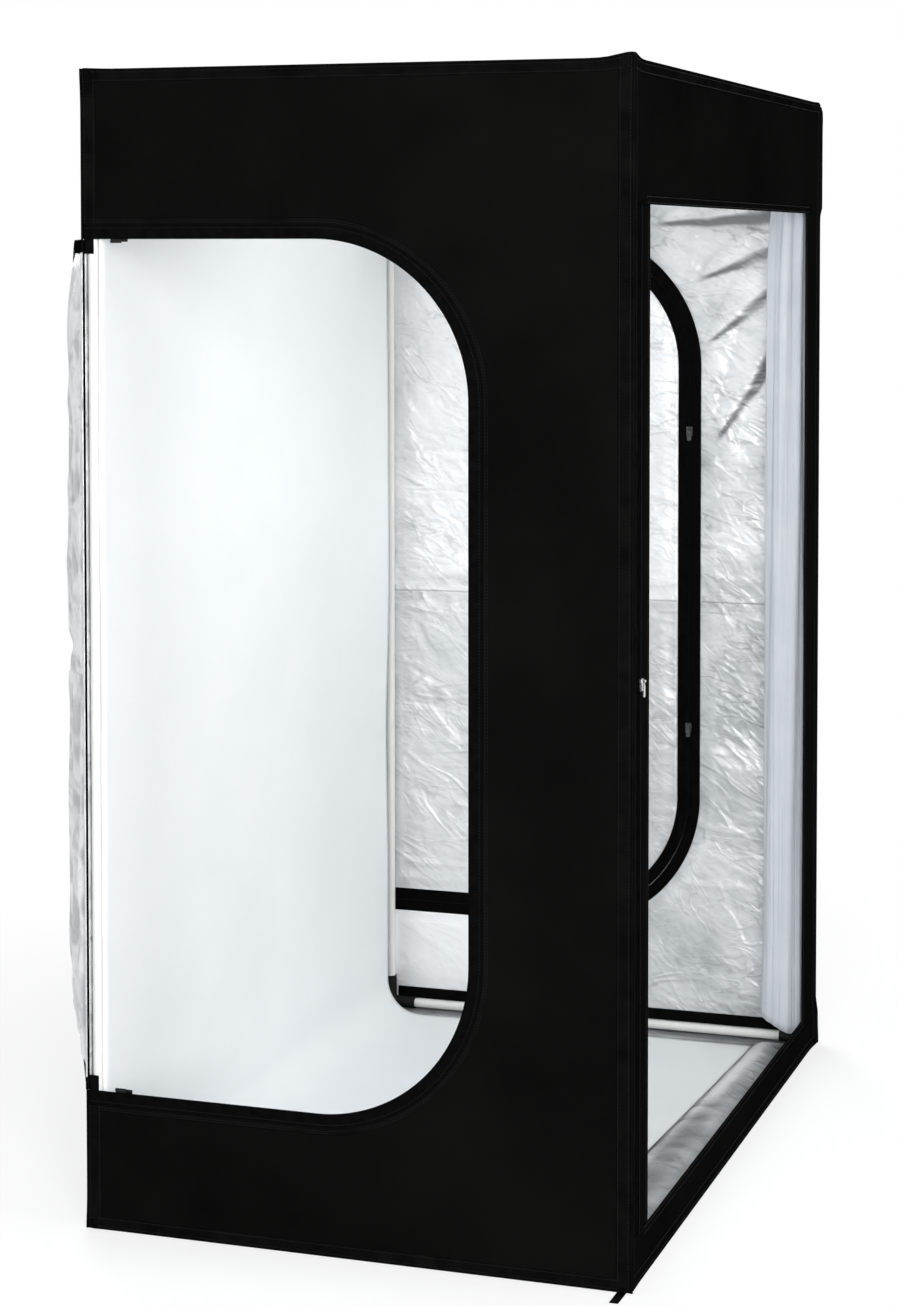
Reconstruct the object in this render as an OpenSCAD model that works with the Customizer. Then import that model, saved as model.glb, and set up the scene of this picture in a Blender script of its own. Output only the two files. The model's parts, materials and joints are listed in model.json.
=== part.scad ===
// Free-standing fabric tent on a tube frame. The cover is black outside and silver inside,
// with a D-shaped zip door in the front and back walls, an open side and a white sweep sheet.
// X runs across the front, Y from front to back, and the tent stands on z = 0.

/* [Tent] */
// Width across the front, over the cover
tent_w = 970; // [800:10:1300]
// Depth from front to back, over the cover
tent_d = 1500; // [1200:10:2000]
// Height over the cover
tent_h = 2000; // [1700:10:2400]
// Thickness of the lined cover cloth
cloth_t = 1; // [0.6:0.1:1.5]

/* [Frame] */
// Outside diameter of the frame tubes
tube_d = 19; // [15:0.5:24]
// Wall of the frame tubes
tube_wall = 1; // [0.8:0.1:1.5]
// Wall of the corner sockets
socket_wall = 2.85; // [2:0.05:4]
// Reach of a corner socket from the corner's centre
socket_l = 58; // [45:1:80]
// Length of the reduced end that plugs an upper upright into a lower one
spigot_l = 60; // [40:1:90]
// Radial clearance of a tube in its socket
socket_fit = 0.15; // [0.1:0.05:0.3]

/* [Doors] */
// From the roof down to the zip along the top of a door
door_top_margin = 288; // [220:1:400]
// From the floor up to the zip along the bottom of a door
door_bottom_margin = 242; // [180:1:350]
// From the open side's face to the zip down the free edge of a door
door_side_margin = 277; // [200:1:350]
// Radius of the zip at the door's round corners
door_r = 270; // [150:5:300]
// How far the front door stands open
door_open = 242; // [180:1:245]
// Width of one zip tape
zip_tape_w = 25; // [15:1:35]
// Diameter of the cords that the doors hinge on
welt_d = 4; // [3:0.5:6]
// Depth of the soft folds in the open door
fold_depth = 9; // [4:1:12]
// Distance between those folds
fold_pitch = 210; // [150:10:300]

/* [Side opening] */
// Height of the cover band over the side opening
header_h = 232; // [150:1:300]
// Width of the cover band at the front of the side opening
front_stile_w = 110; // [85:1:160]
// Width of the cover band at the back of the side opening
rear_stile_w = 130; // [85:1:160]
// Height of the cover band under the side opening
sill_h = 82; // [50:1:120]
// From the front face to the zip on the front band
side_zip_inset = 53; // [40:1:60]

/* [Zip sliders] */
// Length of a slider along the zip
slider_l = 20; // [14:1:26]
// Width of a slider across the zip
slider_w = 13; // [11:0.5:16]
// Length of a pull tab below its eye
pull_l = 26; // [18:1:34]
// Width of a pull tab
pull_w = 9; // [7:0.5:12]
// From the top of the back door down to its upper slider
back_upper_drop = 408; // [400:1:450]
// From the bottom of the back door up to its lower slider
back_lower_rise = 422; // [400:1:450]
// Height of the slider on the side opening's front band
side_slider_z = 987; // [700:1:1200]
// From the hinge side to the parked sliders of the front door
parked_inset = 60; // [55:1:80]

/* [Sweep sheet] */
// Thickness of the sheet
sheet_t = 1; // [0.5:0.1:1.5]
// Radius of the sweep from the wall to the floor
sweep_r = 80; // [60:1:200]
// Bare floor between the sheet's edge and the open side
sheet_margin = 120; // [80:1:200]
// Space between the sheet's edges and the corner sockets
sheet_side_gap = 3.5; // [2:0.5:30]
// Number of snap clips along the top of the sheet
clip_count = 5; // [3:1:8]
// Width of a snap clip along the rail
clip_w = 30; // [20:1:50]

/* [Curtain] */
// Half width of the gathered curtain
curtain_r = 38; // [25:1:40]
// Depth of its folds as a share of its half width
pleat_share = 0.14; // [0.05:0.01:0.16]
// Number of folds round the gathered curtain
pleat_count = 9; // [6:1:12]
// Height of the hem at its low corner
hem_low = 38; // [35:1:90]
// How much higher the hem is at its other corner
hem_slant = 42; // [0:1:60]
// From the rail down to the top of the cloth
loop_drop = 62; // [45:1:90]
// Width of one hanging loop
loop_w = 12; // [8:1:14]

/* [Corner tab] */
// Width of the webbing tab at the front corner
tab_w = 15; // [10:1:25]
// Length of that tab
tab_l = 50; // [30:1:80]
// From the open side's face to the middle of that tab
tab_inset = 14; // [8:1:30]

/* [Hidden] */
$fn = 64;

// Clearances
seat_gap = 0.3;
run_fit = 0.05;
zip_gap = 1.5;
cut_past = 5;

// Frame
tube_r = tube_d / 2;
socket_d = tube_d + 2 * socket_fit + 2 * socket_wall;
socket_end_wall = 1.5;
socket_floor = socket_d / 2 + socket_end_wall;
hub_rounding = 1.44;
hub_round_d = hub_rounding * socket_d;
frame_inset = cloth_t + socket_d / 2;
frame_x = tent_w / 2 - frame_inset;
frame_y = tent_d / 2 - frame_inset;
frame_low = frame_inset;
frame_high = tent_h - frame_inset;
frame_mid = tent_h / 2;
tube_bore_d = tube_d - 2 * tube_wall;
spigot_d = tube_bore_d - 2 * socket_fit;
spigot_bore_d = spigot_d - 2 * tube_wall;
swage_l = 2;

// Doors, measured from the hinge side of the cover and from the floor
door_top = tent_h - door_top_margin;
door_bottom = door_bottom_margin;
door_reach = tent_w - door_side_margin;
door_arc_x = door_reach - door_r;
flap_root = 12;
hinge_x = -tent_w / 2 - welt_d / 2;
hinge_y = tent_d / 2 - cloth_t / 2;
sleeve_d = welt_d + 2 * run_fit + 2 * cloth_t;
left_edge_y = hinge_y - sleeve_d / 2 - seat_gap;
flap_low = door_bottom + zip_gap / 2;
flap_high = door_top - zip_gap / 2;
chain_x = -tent_w / 2 + door_reach;

// Zip
bead_w = 1.25;
bead_h = 1.6;
bead_half = zip_gap / 2 + bead_w;
side_chain_y = -tent_d / 2 + side_zip_inset;
plate_t = 1.6;
plate_in = bead_h + seat_gap;
plate_out = plate_in + plate_t;
leg_in = bead_half + seat_gap;
leg_w = 2.7;
leg_out = leg_in + leg_w;
pin_d = 2;
eye_d = 4.8;
eye_w = 4.6;
ear_w = 1.6;
ear_in = eye_w / 2 + seat_gap;
pin_y = plate_out + seat_gap + eye_d / 2;
pin_share = 0.3;
pin_z = pin_share * slider_l;
tab_t = 1.6;
neck_l = 7;
pull_r = 2;

// Sweep sheet
sheet_x = -frame_x + tube_r + seat_gap;
sheet_top = frame_high - seat_gap;
sheet_w = 2 * (frame_y - socket_l - sheet_side_gap);
sheet_end = tent_w / 2 - sheet_margin;
clip_gap = 0.2;
clip_in_r = tube_r + seat_gap;
clip_out_r = socket_d / 2 - clip_gap;
jaw_in = clip_in_r + sheet_t + seat_gap;
jaw_l = 14;
clip_inset = clip_w / 2;
clip_first_y = -sheet_w / 2 + clip_inset + clip_w;
clip_step = (sheet_w - 2 * clip_inset - clip_w) / (clip_count - 1);

// Curtain
pleat_out = curtain_r * (1 + pleat_share);
curtain_side_gap = 7;
curtain_back_gap = 12;
curtain_x = tent_w / 2 - cloth_t - curtain_side_gap - pleat_out;
curtain_y = frame_y - tube_r - curtain_back_gap - pleat_out;
curtain_top = frame_high - loop_drop;
neck_rx = 14;
neck_ry = 30;
loop_gap = 2;
loop_pitch = loop_w + loop_gap;
loop_t = 1.5;
neck_inset = 9;
neck_x = frame_x - neck_inset;
neck_y = frame_y - socket_l - loop_gap - loop_w / 2 - loop_pitch;
curtain_rings = 12;
pleat_points = 5;
ring_points = pleat_points * pleat_count;
pleat_twist = 50;
gather_power = 20;

// Colours as the photograph shows them
cover_black = [0.05, 0.05, 0.05];
trim_black = [0.08, 0.08, 0.08];
lining_silver = [0.82, 0.83, 0.84];
frame_white = [0.92, 0.92, 0.90];
sheet_white = [0.93, 0.95, 0.96];
curtain_white = [0.84, 0.85, 0.90];
zip_silver = [0.75, 0.75, 0.76];

function mix(a, b, s) = a + (b - a) * s;
function ease(s) = let (c = min(1, max(0, s))) c * c * (3 - 2 * c);

// A shape drawn in plan as X across and Y up is stood on its edge, with its thickness along -Y
module stand(thick) {
    rotate([90, 0, 0])
        linear_extrude(thick)
            children();
}

// Frame tubes

module tube(length) {
    difference() {
        cylinder(d = tube_d, h = length);
        translate([0, 0, -cut_past])
            cylinder(d = tube_bore_d, h = length + 2 * cut_past);
    }
}

module upright_lower(sx, sy) {
    color(frame_white)
        translate([sx * frame_x, sy * frame_y, frame_low + socket_floor])
            tube(frame_mid - frame_low - socket_floor);
}

module upright_upper(sx, sy) {
    length = frame_high - socket_floor - frame_mid;
    color(frame_white)
        translate([sx * frame_x, sy * frame_y, frame_mid])
            difference() {
                union() {
                    cylinder(d = tube_d, h = length);
                    translate([0, 0, -spigot_l])
                        cylinder(d = spigot_d, h = spigot_l + swage_l);
                }
                translate([0, 0, swage_l])
                    cylinder(d = tube_bore_d, h = length);
                translate([0, 0, -spigot_l - cut_past])
                    cylinder(d = spigot_bore_d, h = spigot_l + length);
            }
}

module rail_across(sy, z) {
    length = 2 * (frame_x - socket_floor);
    color(frame_white)
        translate([-length / 2, sy * frame_y, z])
            rotate([0, 90, 0])
                tube(length);
}

module rail_along(sx, z) {
    length = 2 * (frame_y - socket_floor);
    color(frame_white)
        translate([sx * frame_x, length / 2, z])
            rotate([90, 0, 0])
                tube(length);
}

// Corner connectors: a rounded block with a socket for each of the three tubes that meet there

module three_ways(sx, sy, sz) {
    rotate([0, -90 * sx, 0]) children();
    rotate([90 * sy, 0, 0]) children();
    rotate([sz > 0 ? 180 : 0, 0, 0]) children();
}

module corner(sx, sy, sz) {
    color(trim_black)
        translate([sx * frame_x, sy * frame_y, sz > 0 ? frame_high : frame_low])
            difference() {
                union() {
                    intersection() {
                        cube(socket_d, center = true);
                        sphere(d = hub_round_d);
                    }
                    three_ways(sx, sy, sz)
                        cylinder(d = socket_d, h = socket_l);
                }
                three_ways(sx, sy, sz)
                    translate([0, 0, socket_floor])
                        cylinder(d = tube_d + 2 * socket_fit, h = socket_l);
            }
}

// Cover panels

module floor_panel() {
    color(lining_silver)
        translate([-tent_w / 2, -tent_d / 2, 0])
            cube([tent_w, tent_d, cloth_t]);
}

module roof_panel() {
    color(cover_black)
        translate([-tent_w / 2, -tent_d / 2, tent_h - cloth_t])
            cube([tent_w, tent_d, cloth_t]);
}

module left_panel() {
    color(cover_black)
        translate([-tent_w / 2, -left_edge_y, cloth_t])
            cube([cloth_t, 2 * left_edge_y, tent_h - 2 * cloth_t]);
}

// The D outline of a door, grown past its zip by an amount that may be negative
module door_outline(grow, start) {
    low = door_bottom - grow;
    high = door_top + grow;
    translate([start, low])
        square([door_arc_x - start, high - low]);
    translate([start, door_bottom + door_r])
        square([door_reach + grow - start, door_top - door_bottom - 2 * door_r]);
    for (z = [door_bottom + door_r, door_top - door_r])
        translate([door_arc_x, z])
            circle(r = door_r + grow);
}

module wall_with_door(face_y) {
    color(cover_black)
        translate([-tent_w / 2, face_y, 0])
            stand(cloth_t)
                difference() {
                    translate([0, cloth_t])
                        square([tent_w, tent_h - 2 * cloth_t]);
                    door_outline(zip_tape_w, -cut_past);
                }
}

module side_band(y0, y1, z0, z1) {
    color(cover_black)
        translate([tent_w / 2 - cloth_t, y0, z0])
            cube([cloth_t, y1 - y0, z1 - z0]);
}

side_edge_y = tent_d / 2 - cloth_t;
header_z = tent_h - header_h;

module side_header() {
    side_band(-side_edge_y, side_edge_y, header_z, tent_h - cloth_t);
}

module side_sill() {
    side_band(-side_edge_y, side_edge_y, cloth_t, sill_h);
}

module side_front_stile() {
    side_band(-side_edge_y, -tent_d / 2 + front_stile_w, sill_h, header_z);
}

module side_rear_stile() {
    side_band(tent_d / 2 - rear_stile_w, side_edge_y, sill_h, header_z);
}

module welt(x, y) {
    color(trim_black)
        translate([x, y, 0])
            cylinder(d = welt_d, h = tent_h);
}

module right_welts() {
    for (sy = [-1, 1])
        welt(-hinge_x, sy * hinge_y);
}

module corner_tab() {
    color(trim_black)
        translate([tent_w / 2 - tab_inset - tab_w / 2, -tent_d / 2 - tab_l, 0])
            cube([tab_w, tab_l, cloth_t]);
}

// Zip tapes: a flat band, with half of the zip's chain as a bead along its edge

module wall_zip(face_y, inward) {
    color(trim_black)
        translate([-tent_w / 2, face_y, 0]) {
            stand(cloth_t)
                difference() {
                    door_outline(zip_tape_w, 0);
                    door_outline(zip_gap / 2, -cut_past);
                }
            translate([0, inward > 0 ? bead_h : -cloth_t, 0])
                stand(bead_h)
                    difference() {
                        door_outline(bead_half, 0);
                        door_outline(zip_gap / 2, -cut_past);
                    }
        }
}

module side_zip() {
    color(trim_black) {
        translate([tent_w / 2, side_chain_y - zip_tape_w, sill_h])
            cube([cloth_t, zip_tape_w - zip_gap / 2, header_z - sill_h]);
        translate([tent_w / 2 + cloth_t, side_chain_y - bead_half, sill_h])
            cube([bead_h, bead_w, header_z - sill_h]);
    }
}

// Doors. A flap is drawn closed on the front wall and turned about its hinge cord.

module front_turn(angle) {
    translate([hinge_x, -hinge_y, 0])
        rotate([0, 0, -angle])
            translate([-hinge_x, hinge_y, 0])
                children();
}

// The sleeve that holds the flap's hinge edge round the cord
module flap_sleeve(y) {
    color(trim_black)
        translate([hinge_x, y, flap_low])
            difference() {
                union() {
                    cylinder(d = sleeve_d, h = flap_high - flap_low);
                    translate([0, -cloth_t / 2, 0])
                        cube([-tent_w / 2 + flap_root - hinge_x, cloth_t, flap_high - flap_low]);
                }
                translate([0, 0, -cut_past])
                    cylinder(d = welt_d + 2 * run_fit, h = tent_h);
            }
}

module flap_zip(y, inward) {
    color(trim_black)
        translate([-tent_w / 2, y + cloth_t / 2, 0]) {
            stand(cloth_t)
                difference() {
                    door_outline(-zip_gap / 2, flap_root);
                    door_outline(-zip_tape_w, flap_root);
                }
            translate([0, inward > 0 ? bead_h : -cloth_t, 0])
                stand(bead_h)
                    difference() {
                        door_outline(-zip_gap / 2, flap_root);
                        door_outline(-bead_half, flap_root - cut_past);
                    }
        }
}

// The open flap's cloth hangs in soft upright folds that die out towards its taped edges
flap_arc_r = door_r - zip_tape_w;
flap_steps_arc = 7;
flap_steps_up = 10;
flap_steps_across = 16;
fold_fade = 110;
fold_lean = 0.05;
flap_rows = concat(
    [for (i = [0 : flap_steps_arc]) let (a = 90 * i / flap_steps_arc)
        [door_bottom + door_r - flap_arc_r * cos(a), door_arc_x + flap_arc_r * sin(a)]],
    [for (i = [1 : flap_steps_up])
        [mix(door_bottom + door_r, door_top - door_r, i / flap_steps_up), door_reach - zip_tape_w]],
    [for (i = [1 : flap_steps_arc]) let (a = 90 * i / flap_steps_arc)
        [door_top - door_r + flap_arc_r * sin(a), door_arc_x + flap_arc_r * cos(a)]]
);
flap_last = len(flap_rows) - 1;

function fold(x, z, edge) =
    let (
        from_side = min(x - flap_root, edge - x),
        from_end = min(z - flap_rows[0][0], flap_rows[flap_last][0] - z)
    )
    fold_depth * ease(from_side / fold_fade) * ease(from_end / fold_fade)
        * sin(360 * (x + fold_lean * z) / fold_pitch);

function flap_point(row, i, side) =
    let (
        z = flap_rows[row][0],
        edge = flap_rows[row][1],
        x = mix(flap_root, edge, i / flap_steps_across)
    )
    [x, fold(x, z, edge) + side * cloth_t / 2, z];

flap_points = [
    for (side = [-1, 1], row = [0 : flap_last], i = [0 : flap_steps_across])
        flap_point(row, i, side)
];
flap_layer = (flap_last + 1) * (flap_steps_across + 1);

function at(side, row, i) = side * flap_layer + row * (flap_steps_across + 1) + i;

// Two triangles for the four corners a, b, c, d taken clockwise as seen from outside
function two(a, b, c, d) = [[a, b, c], [a, c, d]];

flap_faces = [
    for (row = [0 : flap_last - 1], i = [0 : flap_steps_across - 1], f = concat(
        two(at(0, row, i), at(0, row + 1, i), at(0, row + 1, i + 1), at(0, row, i + 1)),
        two(at(1, row, i), at(1, row, i + 1), at(1, row + 1, i + 1), at(1, row + 1, i))
    )) f,
    for (i = [0 : flap_steps_across - 1], f = concat(
        two(at(0, 0, i), at(0, 0, i + 1), at(1, 0, i + 1), at(1, 0, i)),
        two(at(0, flap_last, i + 1), at(0, flap_last, i), at(1, flap_last, i), at(1, flap_last, i + 1))
    )) f,
    let (n = flap_steps_across)
    for (row = [0 : flap_last - 1], f = concat(
        two(at(0, row + 1, 0), at(0, row, 0), at(1, row, 0), at(1, row + 1, 0)),
        two(at(0, row, n), at(0, row + 1, n), at(1, row + 1, n), at(1, row, n))
    )) f
];

module front_flap() {
    color(lining_silver)
        front_turn(door_open)
            translate([-tent_w / 2, -hinge_y, 0])
                polyhedron(flap_points, flap_faces, convexity = 6);
}

module front_flap_zip() {
    front_turn(door_open) flap_zip(-hinge_y, 1);
}

module front_flap_sleeve() {
    front_turn(door_open) flap_sleeve(-hinge_y);
}

module back_flap() {
    color(cover_black)
        translate([-tent_w / 2, hinge_y + cloth_t / 2, 0])
            stand(cloth_t)
                door_outline(-zip_tape_w, flap_root);
}

// Zip sliders. A slider straddles the chain's bead on the face at y = 0, runs along Z,
// and carries its pull on the -Y side. The pull hangs from a pin between two ears.

module slider_body() {
    translate([-slider_w / 2, -plate_out, -slider_l / 2])
        cube([slider_w, plate_t, slider_l]);
    for (x = [-leg_out, leg_in])
        translate([x, -plate_out, -slider_l / 2])
            cube([leg_w, plate_out - seat_gap, slider_l]);
    for (x = [-ear_in - ear_w, ear_in])
        translate([x, 0, pin_z]) {
            translate([0, -pin_y, -eye_d / 2])
                cube([ear_w, pin_y - plate_in, eye_d]);
            translate([0, -pin_y, 0])
                rotate([0, 90, 0])
                    cylinder(d = eye_d, h = ear_w);
        }
    translate([-ear_in - ear_w, -pin_y, pin_z])
        rotate([0, 90, 0])
            cylinder(d = pin_d, h = 2 * (ear_in + ear_w));
}

module slider_pull() {
    translate([0, -pin_y, pin_z])
        difference() {
            union() {
                translate([-eye_w / 2, 0, 0])
                    rotate([0, 90, 0])
                        cylinder(d = eye_d, h = eye_w);
                translate([-eye_w / 2, -tab_t / 2, -neck_l - pull_r])
                    cube([eye_w, tab_t, neck_l + pull_r]);
                translate([-pull_w / 2, -tab_t / 2, -pull_l + pull_r])
                    cube([pull_w, tab_t, pull_l - neck_l - pull_r]);
                translate([-pull_w / 2 + pull_r, -tab_t / 2, -pull_l])
                    cube([pull_w - 2 * pull_r, tab_t, pull_l - neck_l]);
                for (x = [-1, 1])
                    translate([x * (pull_w / 2 - pull_r), tab_t / 2, -pull_l + pull_r])
                        rotate([90, 0, 0])
                            cylinder(r = pull_r, h = tab_t);
            }
            translate([-eye_w, 0, 0])
                rotate([0, 90, 0])
                    cylinder(d = pin_d + 2 * run_fit, h = 2 * eye_w);
        }
}

module on_back_zip(z) {
    translate([chain_x, tent_d / 2 - cloth_t, z]) children();
}

module on_front_zip(z) {
    translate([-tent_w / 2 + parked_inset, -tent_d / 2 + cloth_t, z])
        rotate([0, 90, 180])
            children();
}

module on_side_zip(z) {
    translate([tent_w / 2 + cloth_t, side_chain_y, z])
        rotate([0, 0, 90])
            children();
}

// Sweep sheet, hung inside the left top rail and run out over the floor

module sheet_profile() {
    bend = cloth_t + sweep_r;
    translate([sheet_x, bend])
        square([sheet_t, sheet_top - bend]);
    translate([sheet_x + sweep_r, cloth_t])
        square([sheet_end - sheet_x - sweep_r, sheet_t]);
    intersection() {
        translate([sheet_x + sweep_r, bend])
            difference() {
                circle(r = sweep_r);
                circle(r = sweep_r - sheet_t);
            }
        translate([sheet_x, cloth_t])
            square(sweep_r);
    }
}

// Between the front sockets the sheet runs on beside the upright, nearly to its front
module sheet_front_strip() {
    low = max(frame_low + socket_l + sheet_side_gap, cloth_t + sweep_r);
    high = frame_high - socket_l - sheet_side_gap;
    front = -frame_y - tube_r + sheet_side_gap;
    translate([sheet_x, front, low])
        cube([sheet_t, -sheet_w / 2 + cut_past - front, high - low]);
}

module sweep_sheet() {
    color(sheet_white) {
        translate([0, sheet_w / 2, 0])
            stand(sheet_w)
                sheet_profile();
        sheet_front_strip();
    }
}

// A clip hooks over the rail, and its jaw holds the sheet's top edge against the rail
module clip() {
    stand(clip_w) {
        difference() {
            circle(r = clip_out_r);
            circle(r = clip_in_r);
            translate([-clip_out_r, -2 * clip_out_r])
                square(2 * clip_out_r);
        }
        translate([jaw_in, -jaw_l])
            square([clip_out_r - jaw_in, jaw_l]);
    }
}

module sheet_clips() {
    color(trim_black)
        for (i = [0 : clip_count - 1])
            translate([-frame_x, clip_first_y + i * clip_step, frame_high])
                clip();
}

// Curtain, gathered into folds at the back of the open side and hung on loops round the rail

function curtain_point(ring, k) =
    let (
        s = ring / curtain_rings,
        g = pow(s, gather_power),
        a = 360 * k / ring_points,
        pleat = 1 + pleat_share * cos(pleat_count * a + pleat_twist * s),
        rx = mix(curtain_r, neck_rx, g) * pleat,
        ry = mix(curtain_r, neck_ry, g) * pleat,
        x = mix(curtain_x, neck_x, g) + rx * cos(a),
        hem = hem_low + hem_slant * (curtain_x + pleat_out - x) / (2 * pleat_out)
    )
    [x, mix(curtain_y, neck_y, g) + ry * sin(a), mix(hem, curtain_top, s)];

curtain_points = concat(
    [for (ring = [0 : curtain_rings], k = [0 : ring_points - 1]) curtain_point(ring, k)],
    [
        [curtain_x, curtain_y, hem_low + hem_slant / 2],
        [neck_x, neck_y, curtain_top]
    ]
);
curtain_hub = (curtain_rings + 1) * ring_points;

function around(ring, k) = ring * ring_points + k % ring_points;

curtain_faces = [
    for (ring = [0 : curtain_rings - 1], k = [0 : ring_points - 1], f = two(
        around(ring, k), around(ring + 1, k), around(ring + 1, k + 1), around(ring, k + 1)
    )) f,
    for (k = [0 : ring_points - 1])
        [curtain_hub, around(0, k), around(0, k + 1)],
    for (k = [0 : ring_points - 1])
        [curtain_hub + 1, around(curtain_rings, k + 1), around(curtain_rings, k)]
];

module curtain() {
    color(curtain_white)
        polyhedron(curtain_points, curtain_faces, convexity = 6);
}

module curtain_loops() {
    loop_in_r = tube_r + seat_gap;
    color(curtain_white)
        for (i = [-1 : 1])
            translate([frame_x, neck_y + i * loop_pitch + loop_w / 2, frame_high])
                stand(loop_w)
                    difference() {
                        union() {
                            circle(r = loop_in_r + loop_t);
                            translate([-loop_t, -loop_drop])
                                square([2 * loop_t, loop_drop]);
                        }
                        circle(r = loop_in_r);
                    }
}

upright_lower(-1, -1);  // upright_lower_front_left
upright_lower(1, -1);  // upright_lower_front_right
upright_lower(-1, 1);  // upright_lower_back_left
upright_lower(1, 1);  // upright_lower_back_right
upright_upper(-1, -1);  // upright_upper_front_left
upright_upper(1, -1);  // upright_upper_front_right
upright_upper(-1, 1);  // upright_upper_back_left
upright_upper(1, 1);  // upright_upper_back_right
rail_across(-1, frame_low);  // rail_bottom_front
rail_across(1, frame_low);  // rail_bottom_back
rail_along(-1, frame_low);  // rail_bottom_left
rail_along(1, frame_low);  // rail_bottom_right
rail_across(-1, frame_high);  // rail_top_front
rail_across(1, frame_high);  // rail_top_back
rail_along(-1, frame_high);  // rail_top_left
rail_along(1, frame_high);  // rail_top_right
corner(-1, -1, -1);  // corner_bottom_front_left
corner(1, -1, -1);  // corner_bottom_front_right
corner(-1, 1, -1);  // corner_bottom_back_left
corner(1, 1, -1);  // corner_bottom_back_right
corner(-1, -1, 1);  // corner_top_front_left
corner(1, -1, 1);  // corner_top_front_right
corner(-1, 1, 1);  // corner_top_back_left
corner(1, 1, 1);  // corner_top_back_right
floor_panel();
roof_panel();
wall_with_door(-tent_d / 2 + cloth_t);  // front_panel
wall_with_door(tent_d / 2);  // back_panel
left_panel();
side_header();
side_sill();
side_front_stile();
side_rear_stile();
welt(hinge_x, -hinge_y);  // front_left_welt
welt(hinge_x, hinge_y);  // back_left_welt
right_welts();
corner_tab();
wall_zip(-tent_d / 2 + cloth_t, 1);  // front_panel_zip
wall_zip(tent_d / 2, -1);  // back_panel_zip
side_zip();
front_flap();
front_flap_zip();
front_flap_sleeve();
back_flap();
flap_zip(hinge_y, -1);  // back_flap_zip
flap_sleeve(hinge_y);  // back_flap_sleeve
color(zip_silver) on_back_zip(door_top - back_upper_drop) slider_body();  // back_upper_slider
color(zip_silver) on_back_zip(door_top - back_upper_drop) slider_pull();  // back_upper_pull
color(zip_silver) on_back_zip(door_bottom + back_lower_rise) slider_body();  // back_lower_slider
color(zip_silver) on_back_zip(door_bottom + back_lower_rise) slider_pull();  // back_lower_pull
color(zip_silver) on_side_zip(side_slider_z) slider_body();  // side_slider
color(zip_silver) on_side_zip(side_slider_z) slider_pull();  // side_pull
color(trim_black) on_front_zip(door_top) slider_body();  // front_upper_slider
color(trim_black) on_front_zip(door_top) slider_pull();  // front_upper_pull
color(trim_black) on_front_zip(door_bottom) slider_body();  // front_lower_slider
color(trim_black) on_front_zip(door_bottom) slider_pull();  // front_lower_pull
sweep_sheet();
sheet_clips();
curtain();
curtain_loops();
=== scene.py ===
import json
import math

import bpy
import numpy as np
from mathutils import Matrix, Vector


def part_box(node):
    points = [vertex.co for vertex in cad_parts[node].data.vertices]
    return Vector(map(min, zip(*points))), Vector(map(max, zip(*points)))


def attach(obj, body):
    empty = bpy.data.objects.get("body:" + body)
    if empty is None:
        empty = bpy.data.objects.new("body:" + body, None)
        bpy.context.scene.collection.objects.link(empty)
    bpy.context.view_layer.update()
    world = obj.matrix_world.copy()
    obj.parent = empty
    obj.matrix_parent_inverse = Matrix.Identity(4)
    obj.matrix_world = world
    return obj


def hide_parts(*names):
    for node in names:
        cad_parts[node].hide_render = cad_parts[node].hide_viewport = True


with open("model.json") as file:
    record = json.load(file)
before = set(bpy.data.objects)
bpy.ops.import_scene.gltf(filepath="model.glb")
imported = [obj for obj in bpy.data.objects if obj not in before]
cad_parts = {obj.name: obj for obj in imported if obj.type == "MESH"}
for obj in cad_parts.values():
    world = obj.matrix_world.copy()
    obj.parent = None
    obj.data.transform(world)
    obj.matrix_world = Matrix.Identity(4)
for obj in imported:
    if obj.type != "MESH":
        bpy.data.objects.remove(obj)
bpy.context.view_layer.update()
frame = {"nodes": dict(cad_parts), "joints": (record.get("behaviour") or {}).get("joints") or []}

# Camera. It stands at eye height off the front right corner and looks a little down. The lens is shifted
# for the rest of the way down, so the tent's uprights stay nearly parallel in the picture.
camera_place = Vector((1.6466, -5.0471, 1.6974))
camera_yaw = 0.3197
camera_tilt = 0.045
camera_lens = 76.61
picture_size = (898, 1306)
optical_axis = (477.4, 372.9)

looking = Vector((-math.sin(camera_yaw), math.cos(camera_yaw), -math.tan(camera_tilt)))
camera_data = bpy.data.cameras.new("camera")
camera_data.sensor_fit = "VERTICAL"
camera_data.sensor_height = 36
camera_data.lens = camera_lens
camera_data.shift_x = (picture_size[0] / 2 - optical_axis[0]) / picture_size[1]
camera_data.shift_y = (optical_axis[1] - picture_size[1] / 2) / picture_size[1]
camera = bpy.data.objects.new("camera", camera_data)
camera.location = camera_place
camera.rotation_euler = looking.to_track_quat("-Z", "Y").to_euler()
bpy.context.scene.collection.objects.link(camera)
bpy.context.scene.camera = camera

# Studio. A plain white sweep of floor, a white surround, three soft lamps round the tent and one
# under its roof, as tents of this kind are lit from inside. The floor keeps the tent's shadow.
floor_reach = 14
floor_drop = 0.001
floor_white = (0.80, 0.80, 0.80, 1)
floor_seen = (0.46, 0.46, 0.46, 1)
floor_lift = 0.62
floor_fade = (1.6, 3.0)
world_level = 0.38


def add_node(tree, kind, inputs=None, **settings):
    """One node in a material, world or geometry tree, with its settings and socket values."""
    node = tree.nodes.new(kind)
    for name, value in settings.items():
        setattr(node, name, value)
    for name, value in (inputs or {}).items():
        node.inputs[name].default_value = value
    return node


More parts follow.
